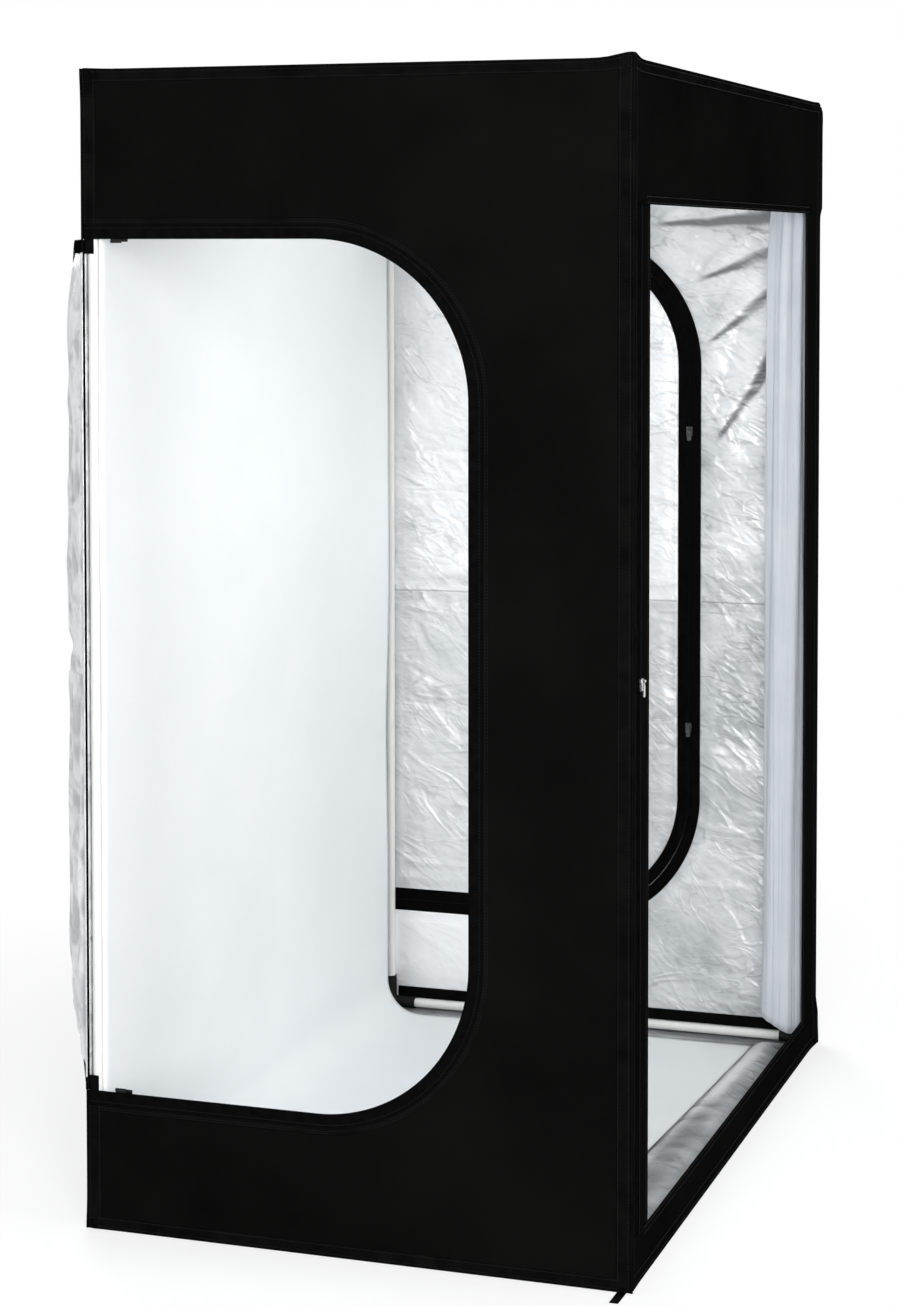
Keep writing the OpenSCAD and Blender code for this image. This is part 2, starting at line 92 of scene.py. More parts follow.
def seen_directly(tree):
    """1 on rays from the camera, in mirrors and through glass, and 0 on rays that carry light."""
    path = add_node(tree, "ShaderNodeLightPath")
    glossy = add_node(tree, "ShaderNodeMath", operation="MAXIMUM")
    either = add_node(tree, "ShaderNodeMath", operation="MAXIMUM")
    tree.links.new(path.outputs["Is Glossy Ray"], glossy.inputs[0])
    tree.links.new(path.outputs["Is Transmission Ray"], glossy.inputs[1])
    tree.links.new(path.outputs["Is Camera Ray"], either.inputs[0])
    tree.links.new(glossy.outputs[0], either.inputs[1])
    return either.outputs[0]


world = bpy.data.worlds.new("studio")
world.use_nodes = True
bpy.context.scene.world = world
air = world.node_tree
air.nodes.clear()
white_air = add_node(air, "ShaderNodeBackground", {"Color": (1, 1, 1, 1), "Strength": 1})
soft_air = add_node(air, "ShaderNodeBackground", {"Color": (0.97, 0.98, 1, 1), "Strength": world_level})
air_mix = add_node(air, "ShaderNodeMixShader")
air_out = add_node(air, "ShaderNodeOutputWorld")
air.links.new(seen_directly(air), air_mix.inputs[0])
air.links.new(soft_air.outputs[0], air_mix.inputs[1])
air.links.new(white_air.outputs[0], air_mix.inputs[2])
air.links.new(air_mix.outputs[0], air_out.inputs[0])

studio_floor_material = bpy.data.materials.new("studio_floor")
studio_floor_material.use_nodes = True
ground = studio_floor_material.node_tree
ground.nodes.clear()
ground_matt = add_node(ground, "ShaderNodeBsdfDiffuse", {"Color": floor_white})
ground_seen = add_node(ground, "ShaderNodeBsdfDiffuse", {"Color": floor_seen})
ground_lift = add_node(ground, "ShaderNodeEmission", {"Color": (1, 1, 1, 1), "Strength": floor_lift})
ground_white = add_node(ground, "ShaderNodeAddShader")
ground_far = add_node(ground, "ShaderNodeEmission", {"Color": (1, 1, 1, 1), "Strength": 1})
ground_fade = add_node(ground, "ShaderNodeMixShader")
ground_place = add_node(ground, "ShaderNodeTexCoord")
ground_away = add_node(ground, "ShaderNodeVectorMath", operation="LENGTH")
fade_span = {"From Min": floor_fade[0], "From Max": floor_fade[1]}
ground_share = add_node(ground, "ShaderNodeMapRange", fade_span, interpolation_type="SMOOTHSTEP")
ground_mix = add_node(ground, "ShaderNodeMixShader")
ground_out = add_node(ground, "ShaderNodeOutputMaterial")
ground.links.new(ground_seen.outputs[0], ground_white.inputs[0])
ground.links.new(ground_lift.outputs[0], ground_white.inputs[1])
ground.links.new(seen_directly(ground), ground_mix.inputs[0])
ground.links.new(ground_place.outputs["Object"], ground_away.inputs[0])
ground.links.new(ground_away.outputs["Value"], ground_share.inputs["Value"])
ground.links.new(ground_share.outputs["Result"], ground_fade.inputs[0])
ground.links.new(ground_white.outputs[0], ground_fade.inputs[1])
ground.links.new(ground_far.outputs[0], ground_fade.inputs[2])
ground.links.new(ground_matt.outputs[0], ground_mix.inputs[1])
ground.links.new(ground_fade.outputs[0], ground_mix.inputs[2])
ground.links.new(ground_mix.outputs[0], ground_out.inputs[0])

studio_floor_mesh = bpy.data.meshes.new("studio_floor")
floor_sides = ((-1, -1), (1, -1), (1, 1), (-1, 1))
floor_corners = [(sx * floor_reach, sy * floor_reach, -floor_drop) for sx, sy in floor_sides]
studio_floor_mesh.from_pydata(floor_corners, [], [(0, 1, 2, 3)])
studio_floor_mesh.materials.append(studio_floor_material)
studio_floor = bpy.data.objects.new("studio_floor", studio_floor_mesh)
bpy.context.scene.collection.objects.link(studio_floor)


def soft_lamp(name, place, target, size, watts):
    """A soft box, as wide and tall as size, that shines from place towards target."""
    data = bpy.data.lights.new(name, "AREA")
    data.shape = "RECTANGLE"
    data.size, data.size_y = size
    data.energy = watts
    lamp = bpy.data.objects.new(name, data)
    lamp.location = place
    lamp.rotation_euler = (Vector(target) - Vector(place)).to_track_quat("-Z", "Y").to_euler()
    lamp.visible_camera = False
    bpy.context.scene.collection.objects.link(lamp)


tent_middle = (0, 0, 1.0)
soft_box = (3.0, 3.0)
soft_lamp("front_lamp", (1.9, -5.4, 2.1), tent_middle, soft_box, 280)
soft_lamp("side_lamp", (5.4, -0.8, 3.0), tent_middle, soft_box, 95)
soft_lamp("back_lamp", (-3.2, 4.6, 3.2), tent_middle, soft_box, 170)
soft_lamp("roof_lamp", (-0.08, 0.10, 1.94), (-0.08, 0.10, 0), (0.5, 0.9), 2.5)

# Frame tubes. Four two-section uprights and eight rails of thin steel tube, powder-coated warm white,
# with the faint orange peel and handling marks of such a coat. They plug into the corner connectors.
tube_tones = ((0.76, 0.756, 0.735, 1), (0.81, 0.807, 0.79, 1))
tube_gloss = {"Specular IOR Level": 0.5}


def new_material(name, values):
    """A material with one Principled shader, whose fixed values are set on the shader's own sockets."""
    material = bpy.data.materials.new(name)
    material.use_nodes = True
    shader = material.node_tree.nodes["Principled BSDF"]
    for socket, value in values.items():
        shader.inputs[socket].default_value = value
    return material, material.node_tree, shader


def mottle(tree, shader, source, scale, dark, light, span=(0.35, 0.65)):
    """Colour that wanders between two tones. The noise that drives it is handed back."""
    noise = add_node(tree, "ShaderNodeTexNoise", {"Scale": scale, "Detail": 5, "Roughness": 0.6})
    tones = add_node(tree, "ShaderNodeValToRGB")
    tones.color_ramp.elements[0].position, tones.color_ramp.elements[1].position = span
    tones.color_ramp.elements[0].color = dark
    tones.color_ramp.elements[1].color = light
    tree.links.new(source, noise.inputs["Vector"])
    tree.links.new(noise.outputs["Fac"], tones.inputs["Fac"])
    tree.links.new(tones.outputs["Color"], shader.inputs["Base Color"])
    return noise.outputs["Fac"]


def roughen(tree, shader, driver, low, high):
    """Roughness between low and high, following a driver from 0 to 1."""
    spread = add_node(tree, "ShaderNodeMapRange", {"To Min": low, "To Max": high})
    tree.links.new(driver, spread.inputs["Value"])
    tree.links.new(spread.outputs["Result"], shader.inputs["Roughness"])


def emboss(tree, shader, height, depth, strength=1.0, share=None):
    """Fine relief on top of any that the shader has already. share, where given, sets its strength."""
    bump = add_node(tree, "ShaderNodeBump", {"Strength": strength, "Distance": depth})
    tree.links.new(height, bump.inputs["Height"])
    if share is not None:
        tree.links.new(share, bump.inputs["Strength"])
    for link in shader.inputs["Normal"].links:
        tree.links.new(link.from_socket, bump.inputs["Normal"])
    tree.links.new(bump.outputs["Normal"], shader.inputs["Normal"])


def mottled(name, values, scale, tones, rough, span=(0.35, 0.65)):
    """A material that wanders between two tones, and with them between two roughnesses."""
    material, tree, shader = new_material(name, values)
    place = add_node(tree, "ShaderNodeTexCoord").outputs["Object"]
    marks = mottle(tree, shader, place, scale, *tones, span)
    roughen(tree, shader, marks, *rough)
    return material, tree, shader, place


def paint_nodes(names, material):
    """Puts a material on the frame's own pieces."""
    for name in names:
        for slot in frame["nodes"][name].material_slots:
            slot.material = material


tube_coat, tree, shader, place = mottled("tube_coat", tube_gloss, 14, tube_tones, (0.28, 0.44))
peel = add_node(tree, "ShaderNodeTexNoise", {"Scale": 900, "Detail": 2})
tree.links.new(place, peel.inputs["Vector"])
emboss(tree, shader, peel.outputs["Fac"], 0.0002, 0.25)

tube_names = [name for name in frame["nodes"] if name.startswith(("upright_", "rail_"))]
paint_nodes(tube_names, tube_coat)

# Corner connectors. Eight three-way blocks in black moulded nylon, with a spark-eroded grain, a little
# greyer where the tubes have rubbed them. Each holds the ends of two rails and an upright.
nylon_tones = ((0.005, 0.005, 0.0055, 1), (0.012, 0.012, 0.0125, 1))
nylon_gloss = {"Specular IOR Level": 0.22}

connector_nylon, tree, shader, place = mottled(
    "connector_nylon", nylon_gloss, 45, nylon_tones, (0.42, 0.62), (0.45, 0.8)
)
grain = add_node(tree, "ShaderNodeTexVoronoi", {"Scale": 1500})
tree.links.new(place, grain.inputs["Vector"])
emboss(tree, shader, grain.outputs["Distance"], 0.0002, 0.35)

connector_names = [name for name in frame["nodes"] if name.startswith("corner_") and name != "corner_tab"]
paint_nodes(connector_names, connector_nylon)

# Cover cloth: black woven polyester with a loose silver lining behind it, which never lies quite flat.
# Floor and roof are one cut each. The floor lies under the rails and the roof sags between them.
cover_tones = ((0.0029, 0.0029, 0.0028, 1), (0.0048, 0.0047, 0.0045, 1))
binding_tones = ((0.0026, 0.0026, 0.0026, 1), (0.0048, 0.0048, 0.0046, 1))
no_gloss = {"Specular IOR Level": 0}
lining_silver = (0.78, 0.795, 0.80, 1)
lining_grey = (0.64, 0.655, 0.66, 1)
door_silver = (0.91, 0.92, 0.93, 1)
door_grey = (0.88, 0.89, 0.895, 1)
lining_shade_and_wear = (0.22, 0.23, 0.24, 1)
lining_crease_shade = (0.16, 0.165, 0.17, 1)
thread_pitch = 0.0009
roof_low, roof_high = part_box("roof_panel")
half_w = roof_high.x
half_d = roof_high.y
tent_h = roof_high.z
cloth = roof_high.z - roof_low.z
sheet_low, sheet_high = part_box("sweep_sheet")
panel_cell = 0.010
hem_flat = 0.030
hem_calm = 0.050
cover_ease = 0.0010
roof_sag = 0.012
roof_sag_in = 0.30
sheet_askew = 0.046
floor_darkening = 3.0
floor_crumple_and_shade = 2.2
edge_roll = 0.009
edge_roll_in = 0.024
edge_roll_w = 0.017
edge_roll_y = 0.20
edge_roll_fade = 0.12
sheet_edge_fade = 0.02
under_rail_w = 0.030
corner_spread = 0.034
corner_push = 0.0012
corner_rise = {(1, -1): 0.009, (-1, -1): 0.002, (1, 1): 0.002, (-1, 1): 0.001}
blunt_corner = (0.004, 0.004, 0.009)
blunt_spread = 0.014
header_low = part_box("side_header")[0].z
sill_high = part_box("side_sill")[1].z
band_proud = (0.003, 0.006, 0)
band_spread = 0.030
band_step = 0.004


def smooth(t):
    """0 to 1 with a soft start and end."""
    t = np.clip(t, 0, 1)
    return t * t * (3 - 2 * t)


def drift(u, v, size, seed):
    """Smooth random values from -1 to 1 over a cloth, wandering over about size metres."""
    cells = 97
    table = np.random.default_rng(seed).uniform(-1, 1, (cells, cells))
    x, y = u / size, v / size
    i, j = np.floor(x).astype(int), np.floor(y).astype(int)
    fx, fy = smooth(x - i), smooth(y - j)
    near = table[i % cells, j % cells] * (1 - fx) + table[(i + 1) % cells, j % cells] * fx
    far = table[i % cells, (j + 1) % cells] * (1 - fx) + table[(i + 1) % cells, (j + 1) % cells] * fx
    return near * (1 - fy) + far * fy


def creases(u, v, pitch, lean, spread, count, seed):
    """Crumpled cloth from 0 to about 1.

    Its folds lie about pitch apart and cross the direction lean, give or take spread.
    """
    draw = np.random.default_rng(seed)
    bent_u = u + 0.6 * pitch * drift(u, v, 2 * pitch, seed + 1)
    bent_v = v + 0.6 * pitch * drift(u, v, 2 * pitch, seed + 2)
    height = np.zeros_like(u)
    for k in range(count):
        turn = lean + spread * draw.uniform(-1, 1)
        step = pitch * draw.uniform(0.7, 1.5)
        phase = (bent_u * math.cos(turn) + bent_v * math.sin(turn)) / step + draw.uniform()
        ridge = 1 - 2 * np.abs(phase - np.floor(phase) - 0.5)
        height += ridge * smooth(0.5 + drift(u, v, 2.5 * pitch, seed + 3 + k))
    return height / count


def lining_crumple(u, v, seed):
    """How far the lining stands off the cover, in metres."""
    level = math.pi / 2
    billow = 0.0030 * (1 + drift(u, v, 0.28, seed))
    folds = 0.0060 * creases(u, v, 0.19, level, 0.8, 3, seed + 20)
    crumple = 0.0040 * creases(u, v, 0.085, level, 0.7, 3, seed + 40)
    return billow + folds + crumple


def above_neighbours(relief):
    """How far each point of a grid stands above those round it, in millimetres."""
    reach = 2
    rows, columns = relief.shape
    padded = np.pad(relief, reach, mode="edge")
    steps = range(2 * reach + 1)
    mean = sum(padded[i:i + rows, j:j + columns] for i in steps for j in steps) / len(steps) ** 2
    return (relief - mean) * 1000


def over_corners(points):
    """Cloth pushed out over the corner connectors, and by the ends of the header and sill at the back.

    The top corner between them has gone blunt.
    """
    moved = points.copy()
    for sx in (-1, 1):
        for sy in (-1, 1):
            for z, rise in ((0, 0), (tent_h, corner_rise[sx, sy])):
                reach = points - np.array([sx * half_w, sy * half_d, z])
                near = np.exp(-np.sum(reach ** 2, -1) / corner_spread ** 2)
                moved += near[..., None] * np.array([sx * corner_push, sy * corner_push, rise])
    from_blunt = points - np.array([half_w, half_d, tent_h])
    moved -= np.exp(-np.sum(from_blunt ** 2, -1) / blunt_spread ** 2)[..., None] * np.array(blunt_corner)
    x, y, z = points[..., 0], points[..., 1], points[..., 2]
    at_edge = np.exp(-((x - half_w) ** 2 + (y - half_d) ** 2) / band_spread ** 2)
    at_band = smooth((z - header_low) / band_step + 1) + smooth((sill_high - z) / band_step + 1)
    return moved + (at_edge * at_band)[..., None] * np.array(band_proud)


def cloth_skin(name, outer, inner, flat, materials, painted_shade_and_wear=None):
    """A closed sheet from two grids of points, with the rim between them. flat is the cut, in metres."""
    rows, columns = outer.shape[:2]
    count = rows * columns
    index = np.arange(count).reshape(rows, columns)
    face = np.stack([index[:-1, :-1], index[1:, :-1], index[1:, 1:], index[:-1, 1:]], -1).reshape(-1, 4)
    ring = np.concatenate([index[0, :-1], index[:-1, -1], index[-1, :0:-1], index[:0:-1, 0]])
    after = np.roll(ring, -1)
    rim = np.stack([ring, after, after + count, ring + count], -1)
    faces = np.concatenate([face, face[:, ::-1] + count, rim])
    side_a = outer[1:, :-1] - outer[:-1, :-1]
    side_b = outer[:-1, 1:] - outer[:-1, :-1]
    if np.sum(np.cross(side_a, side_b) * (outer - inner)[:-1, :-1]) < 0:
        faces = faces[:, ::-1]
    mesh = bpy.data.meshes.new(name)
    mesh.from_pydata(np.concatenate([outer.reshape(-1, 3), inner.reshape(-1, 3)]), [], faces.tolist())
    for material in materials:
        mesh.materials.append(material)
    kind = np.repeat([0, 1, 2], [len(face), len(face), len(rim)])
    mesh.polygons.foreach_set("material_index", kind.astype(np.int32))
    mesh.polygons.foreach_set("use_smooth", kind < 2)
    cut = mesh.uv_layers.new(name="cloth")
    cut.data.foreach_set("uv", flat.reshape(-1, 2)[faces.reshape(-1) % count].astype(np.float32).ravel())
    # The inner face's tone: painted shade in hollows and under folds, and wear, for the lining's material.
    tone = mesh.attributes.new("painted_shade_and_wear", "FLOAT", "POINT")
    if painted_shade_and_wear is not None:
        tone.data.foreach_set("value", np.concatenate([np.zeros(count), painted_shade_and_wear.ravel()]).astype(np.float32))
    mesh.update()
    piece = bpy.data.objects.new(name, mesh)
    bpy.context.scene.collection.objects.link(piece)
    return piece


def woven(tree, pitch):
    """Height of a plain weave on a cloth's own cut: threads over and under each other."""
    cut = add_node(tree, "ShaderNodeUVMap", uv_map="cloth").outputs["UV"]
    squares = add_node(tree, "ShaderNodeTexChecker", {"Scale": 1 / pitch})
    wave_scale = 2 * math.pi / 20 / pitch
    warp = add_node(tree, "ShaderNodeTexWave", {"Scale": wave_scale}, bands_direction="X")
    weft = add_node(tree, "ShaderNodeTexWave", {"Scale": wave_scale}, bands_direction="Y")
    over = add_node(tree, "ShaderNodeMix", data_type="FLOAT")
    for node in (squares, warp, weft):
        tree.links.new(cut, node.inputs["Vector"])
    tree.links.new(squares.outputs["Fac"], over.inputs[0])
    tree.links.new(warp.outputs["Fac"], over.inputs[2])
    tree.links.new(weft.outputs["Fac"], over.inputs[3])
    return over.outputs[0]


cover_cloth, tree, shader, _ = mottled("cover_cloth", no_gloss, 3.5, cover_tones, (0.62, 0.78))
emboss(tree, shader, woven(tree, thread_pitch), 0.0003, 0.35)


def turned_cut(tree, cut, pitch, stretch, turn, shift=(0, 0, 0)):
    """A cloth's own cut in steps of pitch, drawn out along turn, for a pattern that runs that way."""
    spin = add_node(
        tree, "ShaderNodeMapping",
        {"Rotation": (0, 0, turn), "Location": shift, "Scale": (pitch * stretch, pitch, 1)},
        vector_type="TEXTURE",
    )
    tree.links.new(cut, spin.inputs["Vector"])
    return spin.outputs["Vector"]


def foil_ripples(tree, cut, pitch, stretch, turn):
    """Height of short soft ripples along turn, as in foil that was crushed and pulled straight again."""
    wander = add_node(
        tree, "ShaderNodeTexNoise", {"Scale": 1, "Detail": 1.2, "Roughness": 0.5, "Distortion": 0.4},
        noise_dimensions="2D",
    )
    tree.links.new(turned_cut(tree, cut, pitch, stretch, turn), wander.inputs["Vector"])
    return wander.outputs["Fac"]


def foil_creases(tree, cut, pitch, stretch, turns):
    """Height of thin sharp creases on a cloth's own cut. Some of them run along each of turns."""
    total = None
    for turn in turns:
        turned = turned_cut(tree, cut, pitch, stretch, turn, (turn, 0.7 * turn, 0))
        wander = add_node(
            tree, "ShaderNodeTexNoise", {"Scale": 1, "Detail": 2, "Roughness": 0.55, "Distortion": 0.5},
            noise_dimensions="2D",
        )
        crest = add_node(tree, "ShaderNodeMath", operation="PINGPONG")
        crest.inputs[1].default_value = 0.5
        line = add_node(tree, "ShaderNodeMapRange", {"From Min": 0.38, "From Max": 0.5})
        patch = add_node(tree, "ShaderNodeTexNoise", {"Scale": 0.35, "Detail": 1}, noise_dimensions="2D")
        strength = add_node(tree, "ShaderNodeMapRange", {"From Min": 0.40, "From Max": 0.62})
        share = add_node(tree, "ShaderNodeMath", operation="MULTIPLY_ADD")
        tree.links.new(turned, wander.inputs["Vector"])
        tree.links.new(turned, patch.inputs["Vector"])
        tree.links.new(wander.outputs["Fac"], crest.inputs[0])
        tree.links.new(crest.outputs[0], line.inputs["Value"])
        tree.links.new(patch.outputs["Fac"], strength.inputs["Value"])
        tree.links.new(line.outputs["Result"], share.inputs[0])
        tree.links.new(strength.outputs["Result"], share.inputs[1])
        share.inputs[2].default_value = 0
        if total is not None:
            tree.links.new(total, share.inputs[2])
        total = share.outputs[0]
    return total


def lining_material(name, silver, grey, crush):
    """Aluminium-faced cloth: silver, grey in worn patches, with painted shade in its hollows, creases and
    under folds, smooth and painted lighter where it is taut.

    crush is how creased it is.
    """
    material, tree, shader = new_material(name, {"Metallic": 0.35, "Specular IOR Level": 0.3})
    cut = add_node(tree, "ShaderNodeUVMap", uv_map="cloth").outputs["UV"]
    # Painted shade: each piece's tone darkens the silver in its hollows and under its folds, and also marks
    # worn patches.
    fold_tone = add_node(tree, "ShaderNodeAttribute", attribute_name="painted_shade_and_wear")
    fold_range = add_node(tree, "ShaderNodeMapRange", {"From Min": -4.2, "From Max": 0.2})
    fold_colour = add_node(tree, "ShaderNodeValToRGB")
    fold_colour.color_ramp.elements[0].color = lining_shade_and_wear
    fold_colour.color_ramp.elements[1].color = silver
    worn_patch = add_node(tree, "ShaderNodeTexNoise", {"Scale": 4.5, "Detail": 4, "Roughness": 0.6})
    worn_share = add_node(tree, "ShaderNodeMapRange", {"From Min": 0.42, "From Max": 0.66})
    worn_colour = add_node(tree, "ShaderNodeMix", {"B": grey}, data_type="RGBA", blend_type="MULTIPLY")
    long_creases = foil_creases(tree, cut, 0.070, 3.0, (0.10, -0.55))
    fine_creases = foil_creases(tree, cut, 0.030, 2.4, (-0.75, -0.20))
    # Painted shade along the fine creases.
    crease_shade_span = {"From Min": 0.55, "From Max": 1.6, "To Max": 0.38 * crush}
    crease_shade = add_node(tree, "ShaderNodeMapRange", crease_shade_span)
    crease_colour = add_node(tree, "ShaderNodeMix", {"B": lining_crease_shade}, data_type="RGBA")
    # Where a piece marks its lining taut, the lining is painted a lighter silver, which is painted light, and
    # its relief is calmed.
    taut_and_painted_light = add_node(tree, "ShaderNodeAttribute", attribute_name="taut_and_painted_light").outputs["Fac"]
    taut_painted_light = add_node(tree, "ShaderNodeMix", {"B": door_silver}, data_type="RGBA")
    slack = add_node(tree, "ShaderNodeMapRange", {"To Min": 1.0, "To Max": 0.2})
    tree.links.new(fold_tone.outputs["Fac"], fold_range.inputs["Value"])
    tree.links.new(fold_range.outputs["Result"], fold_colour.inputs["Fac"])
    tree.links.new(cut, worn_patch.inputs["Vector"])
    tree.links.new(worn_patch.outputs["Fac"], worn_share.inputs["Value"])
    tree.links.new(worn_share.outputs["Result"], worn_colour.inputs[0])
    tree.links.new(fold_colour.outputs["Color"], worn_colour.inputs[6])
    tree.links.new(fine_creases, crease_shade.inputs["Value"])
    tree.links.new(crease_shade.outputs["Result"], crease_colour.inputs[0])
    tree.links.new(worn_colour.outputs[2], crease_colour.inputs[6])
    tree.links.new(taut_and_painted_light, taut_painted_light.inputs[0])
    tree.links.new(crease_colour.outputs[2], taut_painted_light.inputs[6])
    tree.links.new(taut_painted_light.outputs[2], shader.inputs["Base Color"])
    tree.links.new(taut_and_painted_light, slack.inputs["Value"])
    still = slack.outputs["Result"]
    scuff = add_node(tree, "ShaderNodeTexNoise", {"Scale": 22, "Detail": 6, "Roughness": 0.65})
    tree.links.new(cut, scuff.inputs["Vector"])
    roughen(tree, shader, scuff.outputs["Fac"], 0.32, 0.48)
    emboss(tree, shader, long_creases, 0.0022 * crush, share=still)
    emboss(tree, shader, fine_creases, 0.0006 * crush, share=still)
    emboss(tree, shader, foil_ripples(tree, cut, 0.034, 1.8, -0.70), 0.0040 * crush, share=still)
    emboss(tree, shader, foil_ripples(tree, cut, 0.016, 1.5, 0.35), 0.0014 * crush, share=still)
    emboss(tree, shader, woven(tree, thread_pitch), 0.0002, 0.12)
    return material


lining_foil = lining_material("lining_foil", lining_silver, lining_grey, 1.0)
door_foil = lining_material("door_foil", door_silver, door_grey, 0.7)

binding_cloth, tree, shader, place = mottled("binding_cloth", no_gloss, 30, binding_tones, (0.5, 0.7))
rib = add_node(tree, "ShaderNodeTexNoise", {"Scale": 1100, "Detail": 1})
tree.links.new(place, rib.inputs["Vector"])
emboss(tree, shader, rib.outputs["Fac"], 0.0003, 0.4)

cover_materials = (cover_cloth, lining_foil, binding_cloth)


def sheet_end(y):
    """Where the sweep sheet ends on the floor. It lies a little askew, further in at the front."""
    return sheet_high.x - sheet_askew * (sheet_high.y - y)


def mark_taut_and_painted_light(piece, share):
    """Tells the lining's material where a piece is pulled smooth and painted lighter, from 0 to 1."""
    pull = piece.data.attributes.new("taut_and_painted_light", "FLOAT", "POINT")
    pull.data.foreach_set("value", np.tile(share.ravel(), 2).astype(np.float32))


def flat_panel(name, node, seed, slack=1.0, still=None, sag=None):
    """A rectangular cut of lined cover in its node's place on the frame.

    still calms the lining, and sag lowers the cloth and its lining.
    """
    low, high = (np.array(corner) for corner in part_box(node))
    thin = int(np.argmin(high - low))
    across, up = [axis for axis in range(3) if axis != thin]
    outward = np.zeros(3)
    outward[thin] = 1 if low[thin] + high[thin] > 2 * tent_middle[thin] else -1
    steps = [max(4, int(round((high - low)[axis] / panel_cell))) + 1 for axis in (across, up)]
    u, v = np.meshgrid(
        np.linspace(low[across], high[across], steps[0]),
        np.linspace(low[up], high[up], steps[1]),
        indexing="ij",
    )
    points = np.zeros(u.shape + (3,))
    points[..., across], points[..., up] = u, v
    points[..., thin] = high[thin] if outward[thin] > 0 else low[thin]
    edge = np.minimum.reduce([u - low[across], high[across] - u, v - low[up], high[up] - v])
    calm = smooth((edge - hem_flat) / hem_calm) * slack
    if still is not None:
        calm = calm * still(points)
    relief = lining_crumple(u, v, seed) * calm
    ease = cover_ease * drift(u, v, 0.16, seed + 5) * smooth(edge / hem_calm)
    if sag is not None:
        points = points + sag(edge)
    # Painted shade: the lining is darker in its hollows, by how far each point lies below its neighbours.
    tone = above_neighbours(relief)
    # On the floor the crumple and its painted shade are stronger and the lining is darker all over, except on
    # the roll along the sheet's edge, which is painted lighter: a painted highlight.
    if node == "floor_panel":
        ease = 0 * ease
        from_roll = (points[..., 0] - sheet_end(points[..., 1]) - edge_roll_in) / edge_roll_w
        roll = np.exp(-from_roll ** 2) * smooth((points[..., 1] - edge_roll_y) / edge_roll_fade) * calm
        relief = floor_crumple_and_shade * relief * (1 - roll) + edge_roll * roll
        tone = floor_crumple_and_shade * tone * (1 - roll) - floor_darkening * (1 - roll)
    outer = over_corners(points + ease[..., None] * outward)
    inner = over_corners(points - (cloth + relief)[..., None] * outward)
    piece = cloth_skin(name, outer, inner, np.stack([u, v], -1), cover_materials, tone)
    if node == "floor_panel":
        mark_taut_and_painted_light(piece, roll)
    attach(piece, "tent")
    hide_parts(node)
    return piece, (high - low)[[across, up]]


def beside_sheet(points):
    """The floor's lining is free only past the edges of the sweep sheet that lies on it."""
    past_end = smooth((points[..., 0] - sheet_end(points[..., 1])) / sheet_edge_fade)
    past_side = smooth((np.abs(points[..., 1]) - sheet_high.y) / sheet_edge_fade)
    off_rail = smooth((half_w - under_rail_w - points[..., 0]) / sheet_edge_fade)
    return np.maximum(past_end, 0.3 * past_side) * off_rail


def roof_dip(edge):
    """The roof hangs a little between the top rails."""
    return -roof_sag * smooth(edge / roof_sag_in)[..., None] * np.array([0, 0, 1])


floor_cloth, size = flat_panel("floor_cloth", "floor_panel", 100, 1.0, still=beside_sheet)

roof_cloth, size = flat_panel("roof_cloth", "roof_panel", 200, 0.8, sag=roof_dip)

# Left wall and the four bands round the open side: straight cuts of the same lined cloth, sewn to the
# roof and floor and held taut by the uprights.
left_wall, size = flat_panel("left_wall", "left_panel", 300, 1.0)

band_seeds = {"side_header": 400, "side_sill": 410, "side_front_stile": 420, "side_rear_stile": 430}
for node, seed in band_seeds.items():
    band, size = flat_panel(node + "_cloth", node, seed, 0.45)

# Front and back walls, each one cut with a D-shaped door hole that runs out at the hinge side. The
# lining is drawn into long folds towards the top corner of the open side, and has a level lap seam.
chain_x = sum(corner.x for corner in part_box("back_upper_slider")) / 2
zip_low, zip_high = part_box("back_panel_zip")
tape_w = zip_high.x - chain_x
door_top = zip_high.z - tape_w
door_bottom = zip_low.z + tape_w
door_corner = 0.270
arc_x = chain_x - door_corner
arc_high = door_top - door_corner
arc_low = door_bottom + door_corner
wall_low, wall_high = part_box("back_panel")
outline_step = 0.006
wall_strips = 60
lap_seam_z = 0.943
lap_seam_w = 0.014
lap_seam_h = 0.0008
lap_seam_calm = 0.030
lap_seam_shade = 1.5
packing_folds = (0.614, 0.452, 0.331, 1.24, 1.52)
packing_fold_h = 0.0022
taut_fade = (0.12, 0.03)
taut_calm = 0.7
hole_calm = 0.035
wall_ease = 0.0009
corner_fold_shade = 6.0
below_seam_darkening = (0.5, 0.75)
seam_gap = 0.004


def door_outline(grow, start):
    """Points round a door's D, from the top of its hinge side to the bottom, grow metres past its zip."""
    top_corner = math.atan2(wall_high.z - arc_high, half_w - arc_x)
    low_corner = math.atan2(arc_low - wall_low.z, half_w - arc_x)
    reach = door_corner + grow
    run = np.linspace(start, arc_x, int((arc_x + half_w) / outline_step) + 1)
    eighth = int(door_corner * math.pi / 2 / outline_step)
    bend_in = np.concatenate([
        np.linspace(math.pi / 2, top_corner, eighth + 1),
        np.linspace(top_corner, 0, eighth + 1)[1:],
    ])
    bend_out = np.concatenate([
        np.linspace(0, -low_corner, eighth + 1),
        np.linspace(-low_corner, -math.pi / 2, eighth + 1)[1:],
    ])
    side = np.linspace(arc_high, arc_low, int((arc_high - arc_low) / outline_step) + 1)[1:-1]
    x = np.concatenate([
        run[:-1], arc_x + reach * np.cos(bend_in), np.full(len(side), arc_x + reach),
        arc_x + reach * np.cos(bend_out), run[-2::-1],
    ])
    z = np.concatenate([
        np.full(len(run) - 1, arc_high + reach), arc_high + reach * np.sin(bend_in), side,
        arc_low + reach * np.sin(bend_out), np.full(len(run) - 1, arc_low - reach),
    ])
    return np.stack([x, z], -1)


